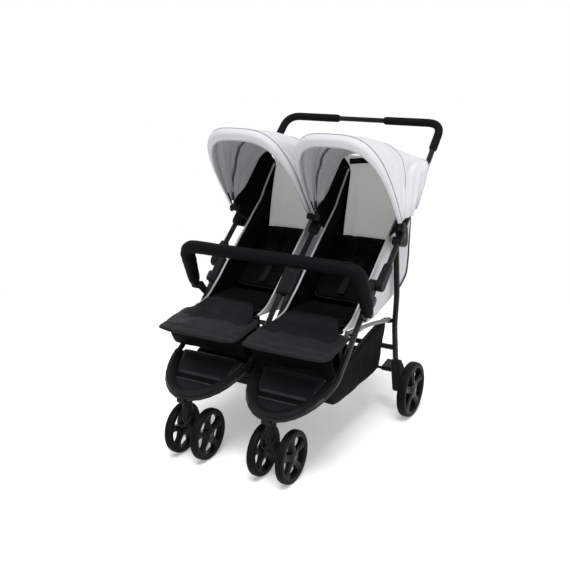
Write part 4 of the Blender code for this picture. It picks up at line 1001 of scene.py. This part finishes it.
def add_pad(name, bm, ring, matrix, mat, body, piping, size=0.0021):
    """Sets a pad in its place and sews piping round its seam."""
    bm.transform(matrix)
    pad = build(name, bm, [mat], body, angle=70)
    edge = cord(f"{name}_piping", [matrix @ p for p in ring], size, piping, body, sides=8, closed=True)
    print("pad", name, "area", area_of(pad))
    return pad, edge


# %% [markdown]
# ## Seat cushions and leg rests
# The seat cushion has two stitched channels from front to back. The leg rest is a wider, flatter board
# under a loose wipe-clean cover, hinged on the cross tube, and it tips down for a longer-legged child, so
# it rides on a body of its own.

# %% Seat cushions and leg rests
CUSHION_SEAM = 0.4480
LEG_X, LEG_HINGE, LEG_LIFT = 0.160, (-0.245, 0.404), 0.0225
LEG_TILT = math.radians(8)


def seat_cushion(side, s):
    bm, ring = pad_mesh(half=0.108, front=-0.203, back=-0.016, top=0.018, bottom=0.009, corner=0.10,
                        channels=(-0.38, 0.38), seed=s)
    place = Matrix.Translation(at(s * SEAT_X, 0, CUSHION_SEAM))
    pad, edge = add_pad(f"seat_cushion_{side}", bm, ring, place, BLACK, "front_frame", PIPING)
    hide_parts(f"seat_pad_{side}")
    for piece in (pad, edge):
        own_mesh(piece)


def leg_pad(side, s):
    bm, ring = pad_mesh(half=0.150, front=-0.146, back=0.026, top=0.014, bottom=0.011, corner=0.06,
                        cross=(-0.66,), seed=2 + s, steps=(56, 40), loose=2.4)
    lean = Matrix.Translation(side_point(s * LEG_X, LEG_HINGE)) @ Matrix.Rotation(LEG_TILT, 4, "X")
    pad, edge = add_pad(f"leg_pad_{side}", bm, ring, lean @ Matrix.Translation((0, 0, LEG_LIFT)), CHARCOAL,
                        f"leg_rest_{side}", PIPING, size=0.0024)
    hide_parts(f"leg_rest_{side}")


# %% [markdown]
# ## Aprons and calf flaps
# An apron sewn to the cushion runs over the seat's front edge on to the leg rest and hides the hinge.
# Below, a calf flap hangs from the leg rest to the frame. Both join two bodies that move against each
# other, but they are baked where they are drawn and tied to neither.

# %% Aprons
APRON_LINE = [(-0.168, 0.4665), (-0.192, 0.4655), (-0.214, 0.4545), (-0.232, 0.4475), (-0.252, 0.4450),
              (-0.276, 0.4400), (-0.300, 0.4310)]
APRON_HALF, APRON_FLARE, APRON_THICK = 0.080, 0.046, 0.0050
FLAP_X = 0.157


def seat_apron(side, s):
    rows = []
    for k in range((len(APRON_LINE) - 1) * 4 + 1):
        y, z = through(APRON_LINE, k / 4)
        half = APRON_HALF + APRON_FLARE * min(1, k / 16) ** 0.8
        rows.append([at(s * SEAT_X + u * half, y,
                        z - 0.0035 * u ** 8 + 0.0016 * math.cos(u * 9.4) * (1 - u * u))
                     for u in (-1 + j / 20 for j in range(41))])
    bm = bmesh.new()
    surface(bm, rows, flip=True)
    apron = build(f"seat_apron_{side}", bm, [APRON])
    solidify(apron, APRON_THICK)
    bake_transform(apron)
    print("apron", side, "area", area_of(apron))


# %% Calf flaps
FLAP_HALF, FLAP_STEPS, CALF_THICK = 0.143, 12, 0.0030


def calf_flap(side, s):
    rows = []
    for k in range(FLAP_STEPS + 1):
        t = k / FLAP_STEPS
        y, z = -0.306 - 0.026 * t, 0.335 + 0.067 * t
        rows.append([at(s * FLAP_X + u * FLAP_HALF,
                        y - 0.006 * math.sin(math.pi * t) - 0.003 * math.cos(u * 7 + s),
                        z + 0.004 * math.cos(u * 1.5) * (t - 1)) for u in (-1 + j / 16 for j in range(33))])
    bm = bmesh.new()
    surface(bm, rows)
    calf = build(f"calf_flap_{side}", bm, [BLACK])
    solidify(calf, CALF_THICK, offset=0.0)
    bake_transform(calf)
    print("calf flap", side, "area", area_of(calf))


for side, s in SIDES:
    seat_cushion(side, s)
    leg_pad(side, s)
    seat_apron(side, s)
    calf_flap(side, s)

# %% [markdown]
# ## Backrests
# The backrest is reclined, so it is made as a flat pad and then turned up about its hinge. Three seams
# across it divide the filling, and it rides on its own body, because it reclines.

# %% Backrests
BACK_HINGE, BACK_TOP = (0.004, 0.456), (0.256, 0.6266)
BACK_LEAN = math.atan2(BACK_TOP[1] - BACK_HINGE[1], BACK_TOP[0] - BACK_HINGE[0])


def back_plane(s):
    """Turns a flat layout, x across and y up the back, into the reclined backrest's plane."""
    return Matrix.Translation(side_point(s * SEAT_X, BACK_HINGE)) @ Matrix.Rotation(BACK_LEAN, 4, "X")


def back_pad(side, s):
    bm, ring = pad_mesh(half=0.105, front=0.012, back=0.3043, top=0.017, bottom=0.015, corner=0.08,
                        cross=(-0.5, 0.0, 0.5), seed=4 + s, steps=(36, 52))
    pad, edge = add_pad(f"back_pad_{side}", bm, ring, back_plane(s), BLACK, f"back_{side}", PIPING)
    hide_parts(f"backrest_{side}")
    return [pad, edge]


print("backrest leans", round(math.degrees(BACK_LEAN), 1), "degrees from flat")

# %% [markdown]
# ## Harness
# The harness is flat woven tape: two shoulder straps with soft sleeves run down to one buckle, and a third
# tape comes up between the legs. The straps are laid out flat on the backrest's plane, just above its skin,
# and taken up with it. The buckle is a small hard pad, since real ones are pillow shaped.

# %% Harness
BACK_SKIN = 0.0195
STRAP_WIDTH, STRAP_THICK = 0.025, 0.0016
SLEEVE_TURN = 0.10


def harness(side, s):
    up = back_plane(s)
    wide = up.to_3x3() @ Vector((1, 0, 0))
    pieces = []

    def strap(name, spots):
        line = [up @ Vector((x, y, BACK_SKIN + lift)) for x, y, lift in spots]
        pieces.append(ribbon(name, line, wide, STRAP_WIDTH, STRAP_THICK, WEB, f"back_{side}"))

    for label, t in SIDES:
        strap(f"shoulder_strap_{side}_{label}",
              [(t * (0.045 - 0.033 * (k / 10) ** 1.5), 0.285 - 0.150 * k / 10, 0.002 * math.sin(k * 0.6))
               for k in range(11)])
        bm, ring = pad_mesh(half=0.019, front=-0.048, back=0.048, top=0.0050, bottom=0.0022, corner=0.2,
                            seed=7 + s + t, steps=(16, 30))
        turn = Matrix.Rotation(t * -SLEEVE_TURN, 4, "Z")
        spot = up @ Matrix.Translation((t * 0.0405, 0.222, BACK_SKIN + 0.0030)) @ turn
        pieces.extend(add_pad(f"strap_sleeve_{side}_{label}", bm, ring, spot, BLACK, f"back_{side}",
                              PIPING, size=0.0012))
    strap(f"crotch_strap_{side}", [(0, 0.112 - 0.088 * k / 8, 0.001 * math.sin(k)) for k in range(9)])
    bm, ring = pad_mesh(half=0.024, front=0.098, back=0.142, top=0.0060, bottom=0.0022, corner=0.18,
                        steps=(20, 20))
    bm.transform(up @ Matrix.Translation((0, 0, BACK_SKIN + 0.0020)))
    buckle = build(f"buckle_{side}", bm, [PLASTIC], f"back_{side}")
    pieces.append(buckle)
    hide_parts(f"harness_{side}")
    print("harness", side, "pieces", len(pieces))
    return pieces


for side, s in SIDES:
    for piece in back_pad(side, s) + harness(side, s):
        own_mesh(piece)

# %% [markdown]
# ## Basket
# One wide cloth tray hangs under both seats. Its floor sags between the tubes that hold it, its sides lean
# out and its hem is bound. It is drawn like the seat shells and rides on the front frame. When the frame
# folds, the hoods come down where the basket was; nothing here moves it out of their way.

# %% Basket
# each key: y and z of the floor, y and z of the rim
BASKET_KEYS = [(-0.262, 0.256, -0.266, 0.272), (-0.205, 0.190, -0.205, 0.300), (-0.120, 0.180, -0.110, 0.332),
               (0.000, 0.180, -0.020, 0.356), (0.085, 0.182, 0.060, 0.370), (0.138, 0.190, 0.122, 0.376),
               (0.147, 0.250, 0.166, 0.370)]
# half of the section, from the rim down to the middle of the floor: share of the height, x
BASKET_LINE = [(1, 0.258), (0.8, 0.2565), (0.6, 0.2545), (0.4, 0.2525), (0.2, 0.2515), (0.08, 0.249),
               (0.0, 0.238), (0, 0.20), (0, 0.15), (0, 0.10), (0, 0.05), (0, 0.0)]
BASKET_STEPS = 36
FLOOR_SAG, RIM_SAG, HEM_SIZE = 0.004, 0.006, 0.0036


def basket_row(k):
    floor_y, floor_z, rim_y, rim_z = through(BASKET_KEYS, k / 6)
    row = []
    for share, x in mirrored(BASKET_LINE):
        p = at(x, floor_y + (rim_y - floor_y) * share, floor_z + (rim_z - floor_z) * share)
        p.z += (0.004 * wrinkle(p, 0.09, seed=11) - FLOOR_SAG * math.cos(p.x * 12) ** 2) * (1 - share)
        p.x += 0.004 * wrinkle(p, 0.07, (1, 1, 2), 12) * math.sin(math.pi * min(max(share, 0), 1))
        p.z -= RIM_SAG * math.sin(math.pi * k / BASKET_STEPS) * share
        row.append(p)
    return row


rows = [basket_row(k) for k in range(BASKET_STEPS + 1)]
bm = bmesh.new()
surface(bm, rows, flip=True)
basket = build("basket_cloth", bm, [BLACK], "front_frame")
solidify(basket, 0.0020, BLACK)
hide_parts("basket")
pieces = [basket]
hems = (("left", [row[0] for row in rows]), ("right", [row[-1] for row in rows]), ("front", rows[0]),
        ("back", rows[-1]))
for label, line in hems:
    pieces.append(cord(f"basket_hem_{label}", line, HEM_SIZE, PIPING, "front_frame", sides=8))
for piece in pieces:
    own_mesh(piece)
print("basket flat", flat_size(rows), "area", area_of(basket))

# %% [markdown]
# ## Bumper bar
# The bumper is a bent tube in a foam and cloth cover. A cord along the bar's path gives the cover; it
# tapers where it enters its sockets, is a little thicker round the bends, and creases there, because the
# cloth has to go round a corner. A fine seam runs along the underside, and a turned cap closes each pivot.

# %% Bumper bar
BUMPER_PIVOT, BUMPER_TOP = (-0.140, 0.487), (-0.205, 0.641)
BUMPER_FOOT_X, BUMPER_TOP_X = 0.330, 0.317
BUMPER_RADIUS, BUMPER_BEND = 0.0215, 0.044
BUMPER_CAP = [(0.0, 0.0), (0.0, 0.011), (0.002, 0.0138), (0.020, 0.0138), (0.0245, 0.012), (0.0260, 0.006),
              (0.0262, 0.0)]


def bumper_radius(share):
    near = min(share, 1 - share)
    return BUMPER_RADIUS - 0.0075 * max(0.0, 1 - near * 26) ** 2 + 0.0035 * bell(near - 0.13, 0.06)


foot = [low * 0.97 + high * 0.03 for low, high in zip(BUMPER_PIVOT, BUMPER_TOP)]
corners = [side_point(BUMPER_FOOT_X, foot), side_point(BUMPER_TOP_X, BUMPER_TOP),
           side_point(-BUMPER_TOP_X, BUMPER_TOP), side_point(-BUMPER_FOOT_X, foot)]
path = even(rounded(corners, BUMPER_BEND, 14), 0.007)
rows = cord_rows(path, bumper_radius, sides=28)
for i, row in enumerate(rows):
    share = i / (len(rows) - 1)
    bend = bell(min(share, 1 - share) - 0.145, 0.05)
    middle = sum(row, Vector()) / len(row)
    for j, p in enumerate(row):
        crease = 0.0010 * bend * math.sin(i * 1.7 + j * 0.4) + 0.0007 * wrinkle(p, 0.03, seed=21)
        row[j] = middle + (p - middle) * (1 + crease / 0.02)
bm = bmesh.new()
surface(bm, rows, closed=True)
seal(bm, 1e-6)
bumper = build("bumper_cover", bm, [COVER], "bumper", angle=60)
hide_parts("bumper_bar")
seam = [p + Vector((0, 0.004, -0.0212)) for p in path[30:-30]]
cord("bumper_seam", seam, 0.0009, PIPING, "bumper", sides=6)
for side, s in SIDES:
    bm = bmesh.new()
    lathe(bm, BUMPER_CAP, side_point(s * 0.3155, BUMPER_PIVOT), 40, outward=s)
    seal(bm)
    build(f"bumper_end_{side}", bm, [PLASTIC], "bumper")
print("bumper path", round(sum((b - a).length for a, b in zip(path, path[1:])), 3))

# %% [markdown]
# ## Foam grips
# The grips are foam sleeves pushed round the corners of the handle, with the tube bare in the middle. Each
# follows the handle's own path and ends in a rounded lip.

# %% Foam grips
HANDLE = (0.490, 1.017)
HANDLE_HALF, HANDLE_BEND = 0.315, 0.055
GRIP_START, GRIP_DROP, GRIP_RADIUS = 0.095, 0.120, 0.0145


def grip_radius(share):
    return GRIP_RADIUS - 0.0016 * max(0.0, 1 - min(share, 1 - share) * 60) ** 2


leg = Vector((0, HANDLE[0] - HUB[0], HANDLE[1] - HUB[1]))
drop = GRIP_DROP / leg.length
for side, s in SIDES:
    low = at(s * (HANDLE_HALF + 0.003 * drop), HANDLE[0] - leg.y * drop, HANDLE[1] - leg.z * drop)
    bends = [side_point(s * GRIP_START, HANDLE), side_point(s * HANDLE_HALF, HANDLE), low]
    line = even(rounded(bends, HANDLE_BEND, 14), 0.006)
    bm = bmesh.new()
    surface(bm, cord_rows(line, grip_radius, sides=28), closed=True)
    seal(bm)
    grip = build(f"foam_grip_{side}", bm, [FOAM], "upper_frame", angle=60)
    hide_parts(f"grip_{side}")
    print("grip", side, "points along its path", len(line))

# %% [markdown]
# ## Wheels: tyre, rim and hub
# A wheel is a moulded hub with five wide ribbed spokes, a rim and a solid tyre with a shallow tread.
# Everything round is turned about the axle from a half section, with one section for each material.

# %% Turned parts of a wheel
RIM_DEPTH, HUB_SHARE = 0.0130, 0.245
GROOVE, SHOULDER = 0.0016, 0.0010


def turned_parts(bm, centre, outward, radius, width):
    w, rim, hub = width / 2, radius - RIM_DEPTH, radius * HUB_SHARE
    flank = [(0.96, rim - 0.001), (1, rim + 0.004), (0.94, radius - 0.0035), (0.74, radius - SHOULDER),
             (0.42, radius), (0.36, radius - GROOVE), (0.28, radius - GROOVE), (0.22, radius)]
    tread = [(-w * a, r) for a, r in flank] + [(w * a, r) for a, r in flank[::-1]]
    lathe(bm, tread, centre, 80, 0, closed=True)
    edge = [(0.90, rim + 0.0005), (0.97, rim - 0.0020), (0.90, rim - 0.0050), (0.55, rim - 0.0068)]
    ring = [(-w * a, r) for a, r in edge] + [(w * a, r) for a, r in edge[::-1]]
    lathe(bm, ring, centre, 80, 2, closed=True)
    core = [(-w * 0.98, 0.0), (-w * 0.98, hub * 0.72), (-w * 0.90, hub * 0.95), (-w * 0.70, hub),
            (w * 0.70, hub), (w * 0.90, hub * 0.95), (w * 0.98, hub * 0.72), (w * 0.99, hub * 0.50),
            (w * 1.02, hub * 0.46), (w * 1.05, hub * 0.30), (w * 1.06, 0.0)]
    lathe(bm, core, centre, 48, 1, outward=outward)


print("the hub takes", HUB_SHARE, "of a wheel's radius")

# %% [markdown]
# ## Wheels: spokes
# Each spoke is lofted from the hub to the rim. It is narrowest in the middle of its length and carries a
# raised rib, which makes it stiff in the real moulding and draws a bright line in the light.

# %% Spokes
SPOKES, SPOKE_STEPS = 5, 8


def spoke_section(rib, deep):
    half = [(-1, 0), (-0.97, 0.86), (-0.80, 1), (-0.34, 1), (-0.22, rib / deep)]
    back = [(0.97, -0.86), (0.80, -1), (-0.80, -1), (-0.97, -0.86)]
    return half + [(-a, b) for a, b in half[::-1]] + back


def spokes(bm, centre, outward, radius, width):
    w = width / 2
    inner, outer = radius * HUB_SHARE * 0.90, radius - RIM_DEPTH - 0.0052
    for k in range(SPOKES):
        turn = math.tau * k / SPOKES + math.pi / 2
        out = Vector((0, math.cos(turn), math.sin(turn)))
        across = Vector((0, -math.sin(turn), math.cos(turn)))
        rows = []
        for i in range(SPOKE_STEPS + 1):
            t = i / SPOKE_STEPS
            arch = math.sin(math.pi * t)
            half = radius * (0.150 - 0.050 * arch ** 0.8 + 0.045 * t)
            deep = w * (0.80 - 0.30 * arch)
            reach = inner + (outer - inner) * t
            section = spoke_section(deep + w * 0.16 * arch, deep)
            rows.append([centre + out * reach + across * (a * half) + Vector((outward * b * deep, 0, 0))
                         for a, b in section])
        surface(bm, rows, closed=True, material=1)


print("a spoke's section has", len(spoke_section(1.2, 1.0)), "points")

# %% [markdown]
# ## Wheels: in their places
# Two large wheels stand at the rear. Each front castor has two small ones. Every wheel is one piece that
# rolls on its own body, with a steel cap over its axle.

# %% Wheels
AXLE_FRONT, AXLE_REAR = (-0.407, 0.0849), (0.220, 0.0998)
REAR_X, TWIN_GAP = 0.344, 0.050
REAR_WIDTH, FRONT_WIDTH = 0.032, 0.026
GROUND_GAP = 0.0001


def wheel(name, body, centre, outward, radius, width):
    w, hub = width / 2, radius * HUB_SHARE
    bm = bmesh.new()
    turned_parts(bm, centre, outward, radius, width)
    spokes(bm, centre, outward, radius, width)
    cap = [(w * 1.04, hub * 0.34), (w * 1.10, hub * 0.30), (w * 1.13, hub * 0.18), (w * 1.14, 0.0)]
    lathe(bm, cap, centre, 32, 3, outward=outward)
    seal(bm)
    piece = build(name, bm, [TYRE, WHEEL, RIM, STEEL], body, angle=34)
    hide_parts(body)
    print(name, "faces", len(piece.data.polygons))


for side, s in SIDES:
    wheel(f"rear_tyre_{side}", f"rear_wheel_{side}", side_point(s * REAR_X, AXLE_REAR), s,
          AXLE_REAR[1] - GROUND_GAP, REAR_WIDTH)
    for label, t in (("outer", s), ("inner", -s)):
        wheel(f"front_tyre_{side}_{label}", f"front_wheel_{side}_{label}",
              side_point(s * SEAT_X + t * TWIN_GAP, AXLE_FRONT), t, AXLE_FRONT[1] - GROUND_GAP, FRONT_WIDTH)

# %% [markdown]
# ## Footrest trays
# The moulded tray has a satin back panel that leans up towards the seat, a dark slot in front of it and a
# raised front lip. All three follow the inside of the tube loop, so their width at each place comes from
# the same ellipse. The panel's plastic is a lighter grey than the lip's, painted sheen for the light its
# leaning face catches. The slot is a strip of near-black plastic instead of a hole: painted shade, since
# little light would come out of one. A lighter cord along the lip's back edge is a painted highlight.

# %% Tray surfaces
TRAY_MIDDLE, TRAY_LENGTH, TRAY_HALF = -0.286, 0.180, 0.139
TRAY_HEIGHT, TRAY_SLOPE = 0.304, 0.4444
TRAY_ROLL, TRAY_THICK, TRAY_STEPS = 0.0034, 0.0030, 16


def tray_half(y, inset):
    share = (y - TRAY_MIDDLE) / TRAY_LENGTH
    return TRAY_HALF * math.sqrt(max(0.0, 1 - share * share)) - inset


def tray_rows(s, start, end, inset, lift, roll):
    """Rows from start to end over the tray's floor; lift is the height by share, roll rounds the edges."""
    rows = []
    for k in range(TRAY_STEPS + 1):
        t = k / TRAY_STEPS
        y = start + (end - start) * t
        half = tray_half(y, inset)
        edge = max(0.0, abs(2 * t - 1) - 0.86) / 0.14
        base = TRAY_HEIGHT + TRAY_SLOPE * (y - TRAY_MIDDLE)
        rows.append([at(s * SEAT_X + u * half, y,
                        base + lift(t) - roll * abs(u) ** 14 - roll * 0.7 * edge * edge)
                     for u in (-1 + j / 16 for j in range(33))])
    return rows


print("the tray is widest at y", TRAY_MIDDLE, "half width", tray_half(TRAY_MIDDLE, 0))

# %% Footrest trays
def panel_lift(t):
    return 0.0180 * (1 - t) ** 1.25 + 0.0006


# lift of the near-black strip that paints the slot's shade
def slot_shade_lift(t):
    return 0.0004


def lip_lift(t):
    return 0.0062 - 0.0040 * t * t


# each part: its name, where it starts and ends, its distance inside the loop, its lift and its material
TRAY_PARTS = (("panel", -0.301, -0.378, 0.028, panel_lift, PANEL_SHEEN),
              ("slot_shade", -0.377, -0.403, 0.026, slot_shade_lift, SLOT_SHADE),
              ("lip", -0.405, -0.448, 0.012, lip_lift, TRAY))
EDGE_START, EDGE_END, EDGE_INSET, EDGE_LIFT, EDGE_SIZE = -0.404, -0.446, 0.022, 0.0062, 0.0026

for side, s in SIDES:
    for label, start, end, inset, lift, mat in TRAY_PARTS:
        bm = bmesh.new()
        surface(bm, tray_rows(s, start, end, inset, lift, TRAY_ROLL), flip=True)
        piece = build(f"tray_{label}_{side}", bm, [mat], "front_frame")
        solidify(piece, TRAY_THICK)
    # a cord of the lighter latch plastic along the lip's back edge: a painted highlight
    line = tray_rows(s, EDGE_START, EDGE_END, EDGE_INSET, lambda t: EDGE_LIFT, 0.0)[0]
    line = [p + Vector((0, 0.0010, -0.0014)) for p in line]
    cord(f"tray_edge_highlight_{side}", line, EDGE_SIZE, CAPSULE, "front_frame", sides=8)
    print("tray", side, "widest", round(2 * tray_half(TRAY_PARTS[0][1], TRAY_PARTS[0][3]), 3))

# %% [markdown]
# ## Small hardware
# Domed rivets mark the pivots of the fold, and each hood hinge has a moulded cap. They are small, but a
# joint without its pin looks like a glued model.

# %% Hardware
FOLD = (-0.030, 0.548)
FOLD_X, HUB_X, HINGE_X = 0.3052, 0.3302, 0.3345
DOME = ((0.0, 1), (0.25, 1), (0.6, 0.86), (0.9, 0.5), (1, 0.0))


def dome(name, centre, outward, mat, body, radius, height):
    bm = bmesh.new()
    lathe(bm, [(height * a, radius * r) for a, r in DOME], centre, 28, outward=outward)
    seal(bm)
    return build(name, bm, [mat], body)


for side, s in SIDES:
    dome(f"fold_rivet_{side}", side_point(s * FOLD_X, FOLD), s, STEEL, "front_frame", radius=0.0085,
         height=0.0030)
    dome(f"hub_rivet_{side}", side_point(s * HUB_X, HUB), s, STEEL, "upper_frame", radius=0.0080,
         height=0.0030)
    dome(f"hinge_cap_{side}", side_point(s * HINGE_X, CANOPY), s, PLASTIC, f"canopy_front_{side}",
         radius=0.0150, height=0.0045)

# %% [markdown]
# ## Floor
# The stroller stands on a white studio sweep. Near it the floor is a real pale surface that takes its
# shadow, and further out it turns into plain white, so that no edge or horizon shows.

# %% Floor
FLOOR_REACH = (-14, -3, 0, 3, 14)
WHITE_FROM, WHITE_TO = 1.0, 2.2
FLOOR_GLOW = 0.27

bm = bmesh.new()
surface(bm, [[Vector((x, y, -0.0008)) for x in FLOOR_REACH] for y in FLOOR_REACH])
mat, tree, bsdf = start_material("studio_floor")
spot = put(tree, "ShaderNodeTexCoord").outputs["Object"]
far = put(tree, "ShaderNodeVectorMath", {"operation": "LENGTH"}, i0=spot).outputs["Value"]
share = put(tree, "ShaderNodeMapRange", {"interpolation_type": "SMOOTHSTEP"}, Value=far, From_Min=WHITE_FROM,
            From_Max=WHITE_TO)
paint = blend_colour(tree, speckle(tree, spot, 2.0, 1.0), (0.93, 0.925, 0.91, 1), (0.95, 0.945, 0.93, 1))
feed(tree, bsdf, Base_Color=paint, Roughness=0.9, Specular_IOR_Level=0.1, Emission_Color=(1, 0.99, 0.98, 1),
     Emission_Strength=FLOOR_GLOW)
white = put(tree, "ShaderNodeEmission", Color=(1, 1, 1, 1), Strength=1.0)
mixed = put(tree, "ShaderNodeMixShader", i0=share.outputs[0], i1=bsdf.outputs[0], i2=white.outputs[0])
feed(tree, tree.nodes["Material Output"], Surface=mixed.outputs[0])
floor = build("studio_floor_sweep", bm, [mat])
floor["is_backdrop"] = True
print("floor turns white from", WHITE_FROM, "to", WHITE_TO)

# %% [markdown]
# ## World
# The world lights the object softly from all around. The camera, and what shines or lets light through, see
# it as plain white instead: Light Path tells those rays apart, so a white background needs no stronger
# light.

# %% World
SOFT_LIGHT = 0.40

world = bpy.data.worlds.new("studio")
world.use_nodes = True
tree = world.node_tree
rays = tree.nodes.new("ShaderNodeLightPath")
seen = maths(tree, "MAXIMUM", rays.outputs["Is Camera Ray"], rays.outputs["Is Glossy Ray"])
seen = maths(tree, "MAXIMUM", seen, rays.outputs["Is Transmission Ray"])
soft = put(tree, "ShaderNodeBackground", Color=(1, 1, 1, 1), Strength=SOFT_LIGHT)
white = put(tree, "ShaderNodeBackground", Color=(1, 1, 1, 1), Strength=1.0)
mixed = put(tree, "ShaderNodeMixShader", i0=seen, i1=soft.outputs[0], i2=white.outputs[0])
feed(tree, tree.nodes["World Output"], Surface=mixed.outputs[0])
bpy.context.scene.world = world
print("world", world.name, "soft light", SOFT_LIGHT)

# %% [markdown]
# ## Lamps
# One broad sun, 30 degrees wide, stands almost overhead and a little to the front. It gives the soft shadow
# under the basket. A round softbox on the child's left lifts the side of the hood and draws the edges of
# the tubes.

# %% Lamps
def lamp(name, kind, place, target, energy, size):
    """A sun, whose size is an angle, or a round area lamp, whose size is its diameter."""
    data = bpy.data.lights.new(name, kind)
    data.energy = energy
    if kind == "SUN":
        data.angle = size
    else:
        data.shape, data.size = "DISK", size
    obj = bpy.data.objects.new(name, data)
    obj.location = place
    obj.rotation_euler = (Vector(target) - Vector(place)).to_track_quat("-Z", "Y").to_euler()
    bpy.context.scene.collection.objects.link(obj)
    print("lamp", name, kind, energy)


lamp("key", "SUN", place=(0.35, -0.95, 3.1), target=(0, 0, 0.4), energy=2.40, size=math.radians(30))
lamp("side_softbox", "AREA", place=(2.4, -0.9, 1.5), target=(0, 0, 0.6), energy=13, size=0.9)

# %% [markdown]
# ## Camera
# The camera stands as in the photograph: in front, towards the child's left and a little above the handle.
# A long lens keeps the two seats nearly the same size.

# %% Camera
CAMERA_PLACE, CAMERA_TARGET = (1.313, -2.3908, 1.307), (-0.032, -0.0388, 0.500)
LENS, SENSOR = 52.2, 36.0

data = bpy.data.cameras.new("camera")
data.lens, data.sensor_width = LENS, SENSOR
camera = bpy.data.objects.new("camera", data)
camera.location = CAMERA_PLACE
camera.rotation_euler = (Vector(CAMERA_TARGET) - camera.location).to_track_quat("-Z", "Y").to_euler()
bpy.context.scene.collection.objects.link(camera)
bpy.context.scene.camera = camera
bpy.context.scene.view_settings.view_transform = "Standard"
print("camera at", CAMERA_PLACE, "lens", LENS)

# %% [markdown]
# ## Measure and finish
# The dressed part should keep the CAD's size, so the box round everything it shows is printed.

# %% Measure and finish
low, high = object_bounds()
print("visual box", [round(v, 4) for v in low], [round(v, 4) for v in high])
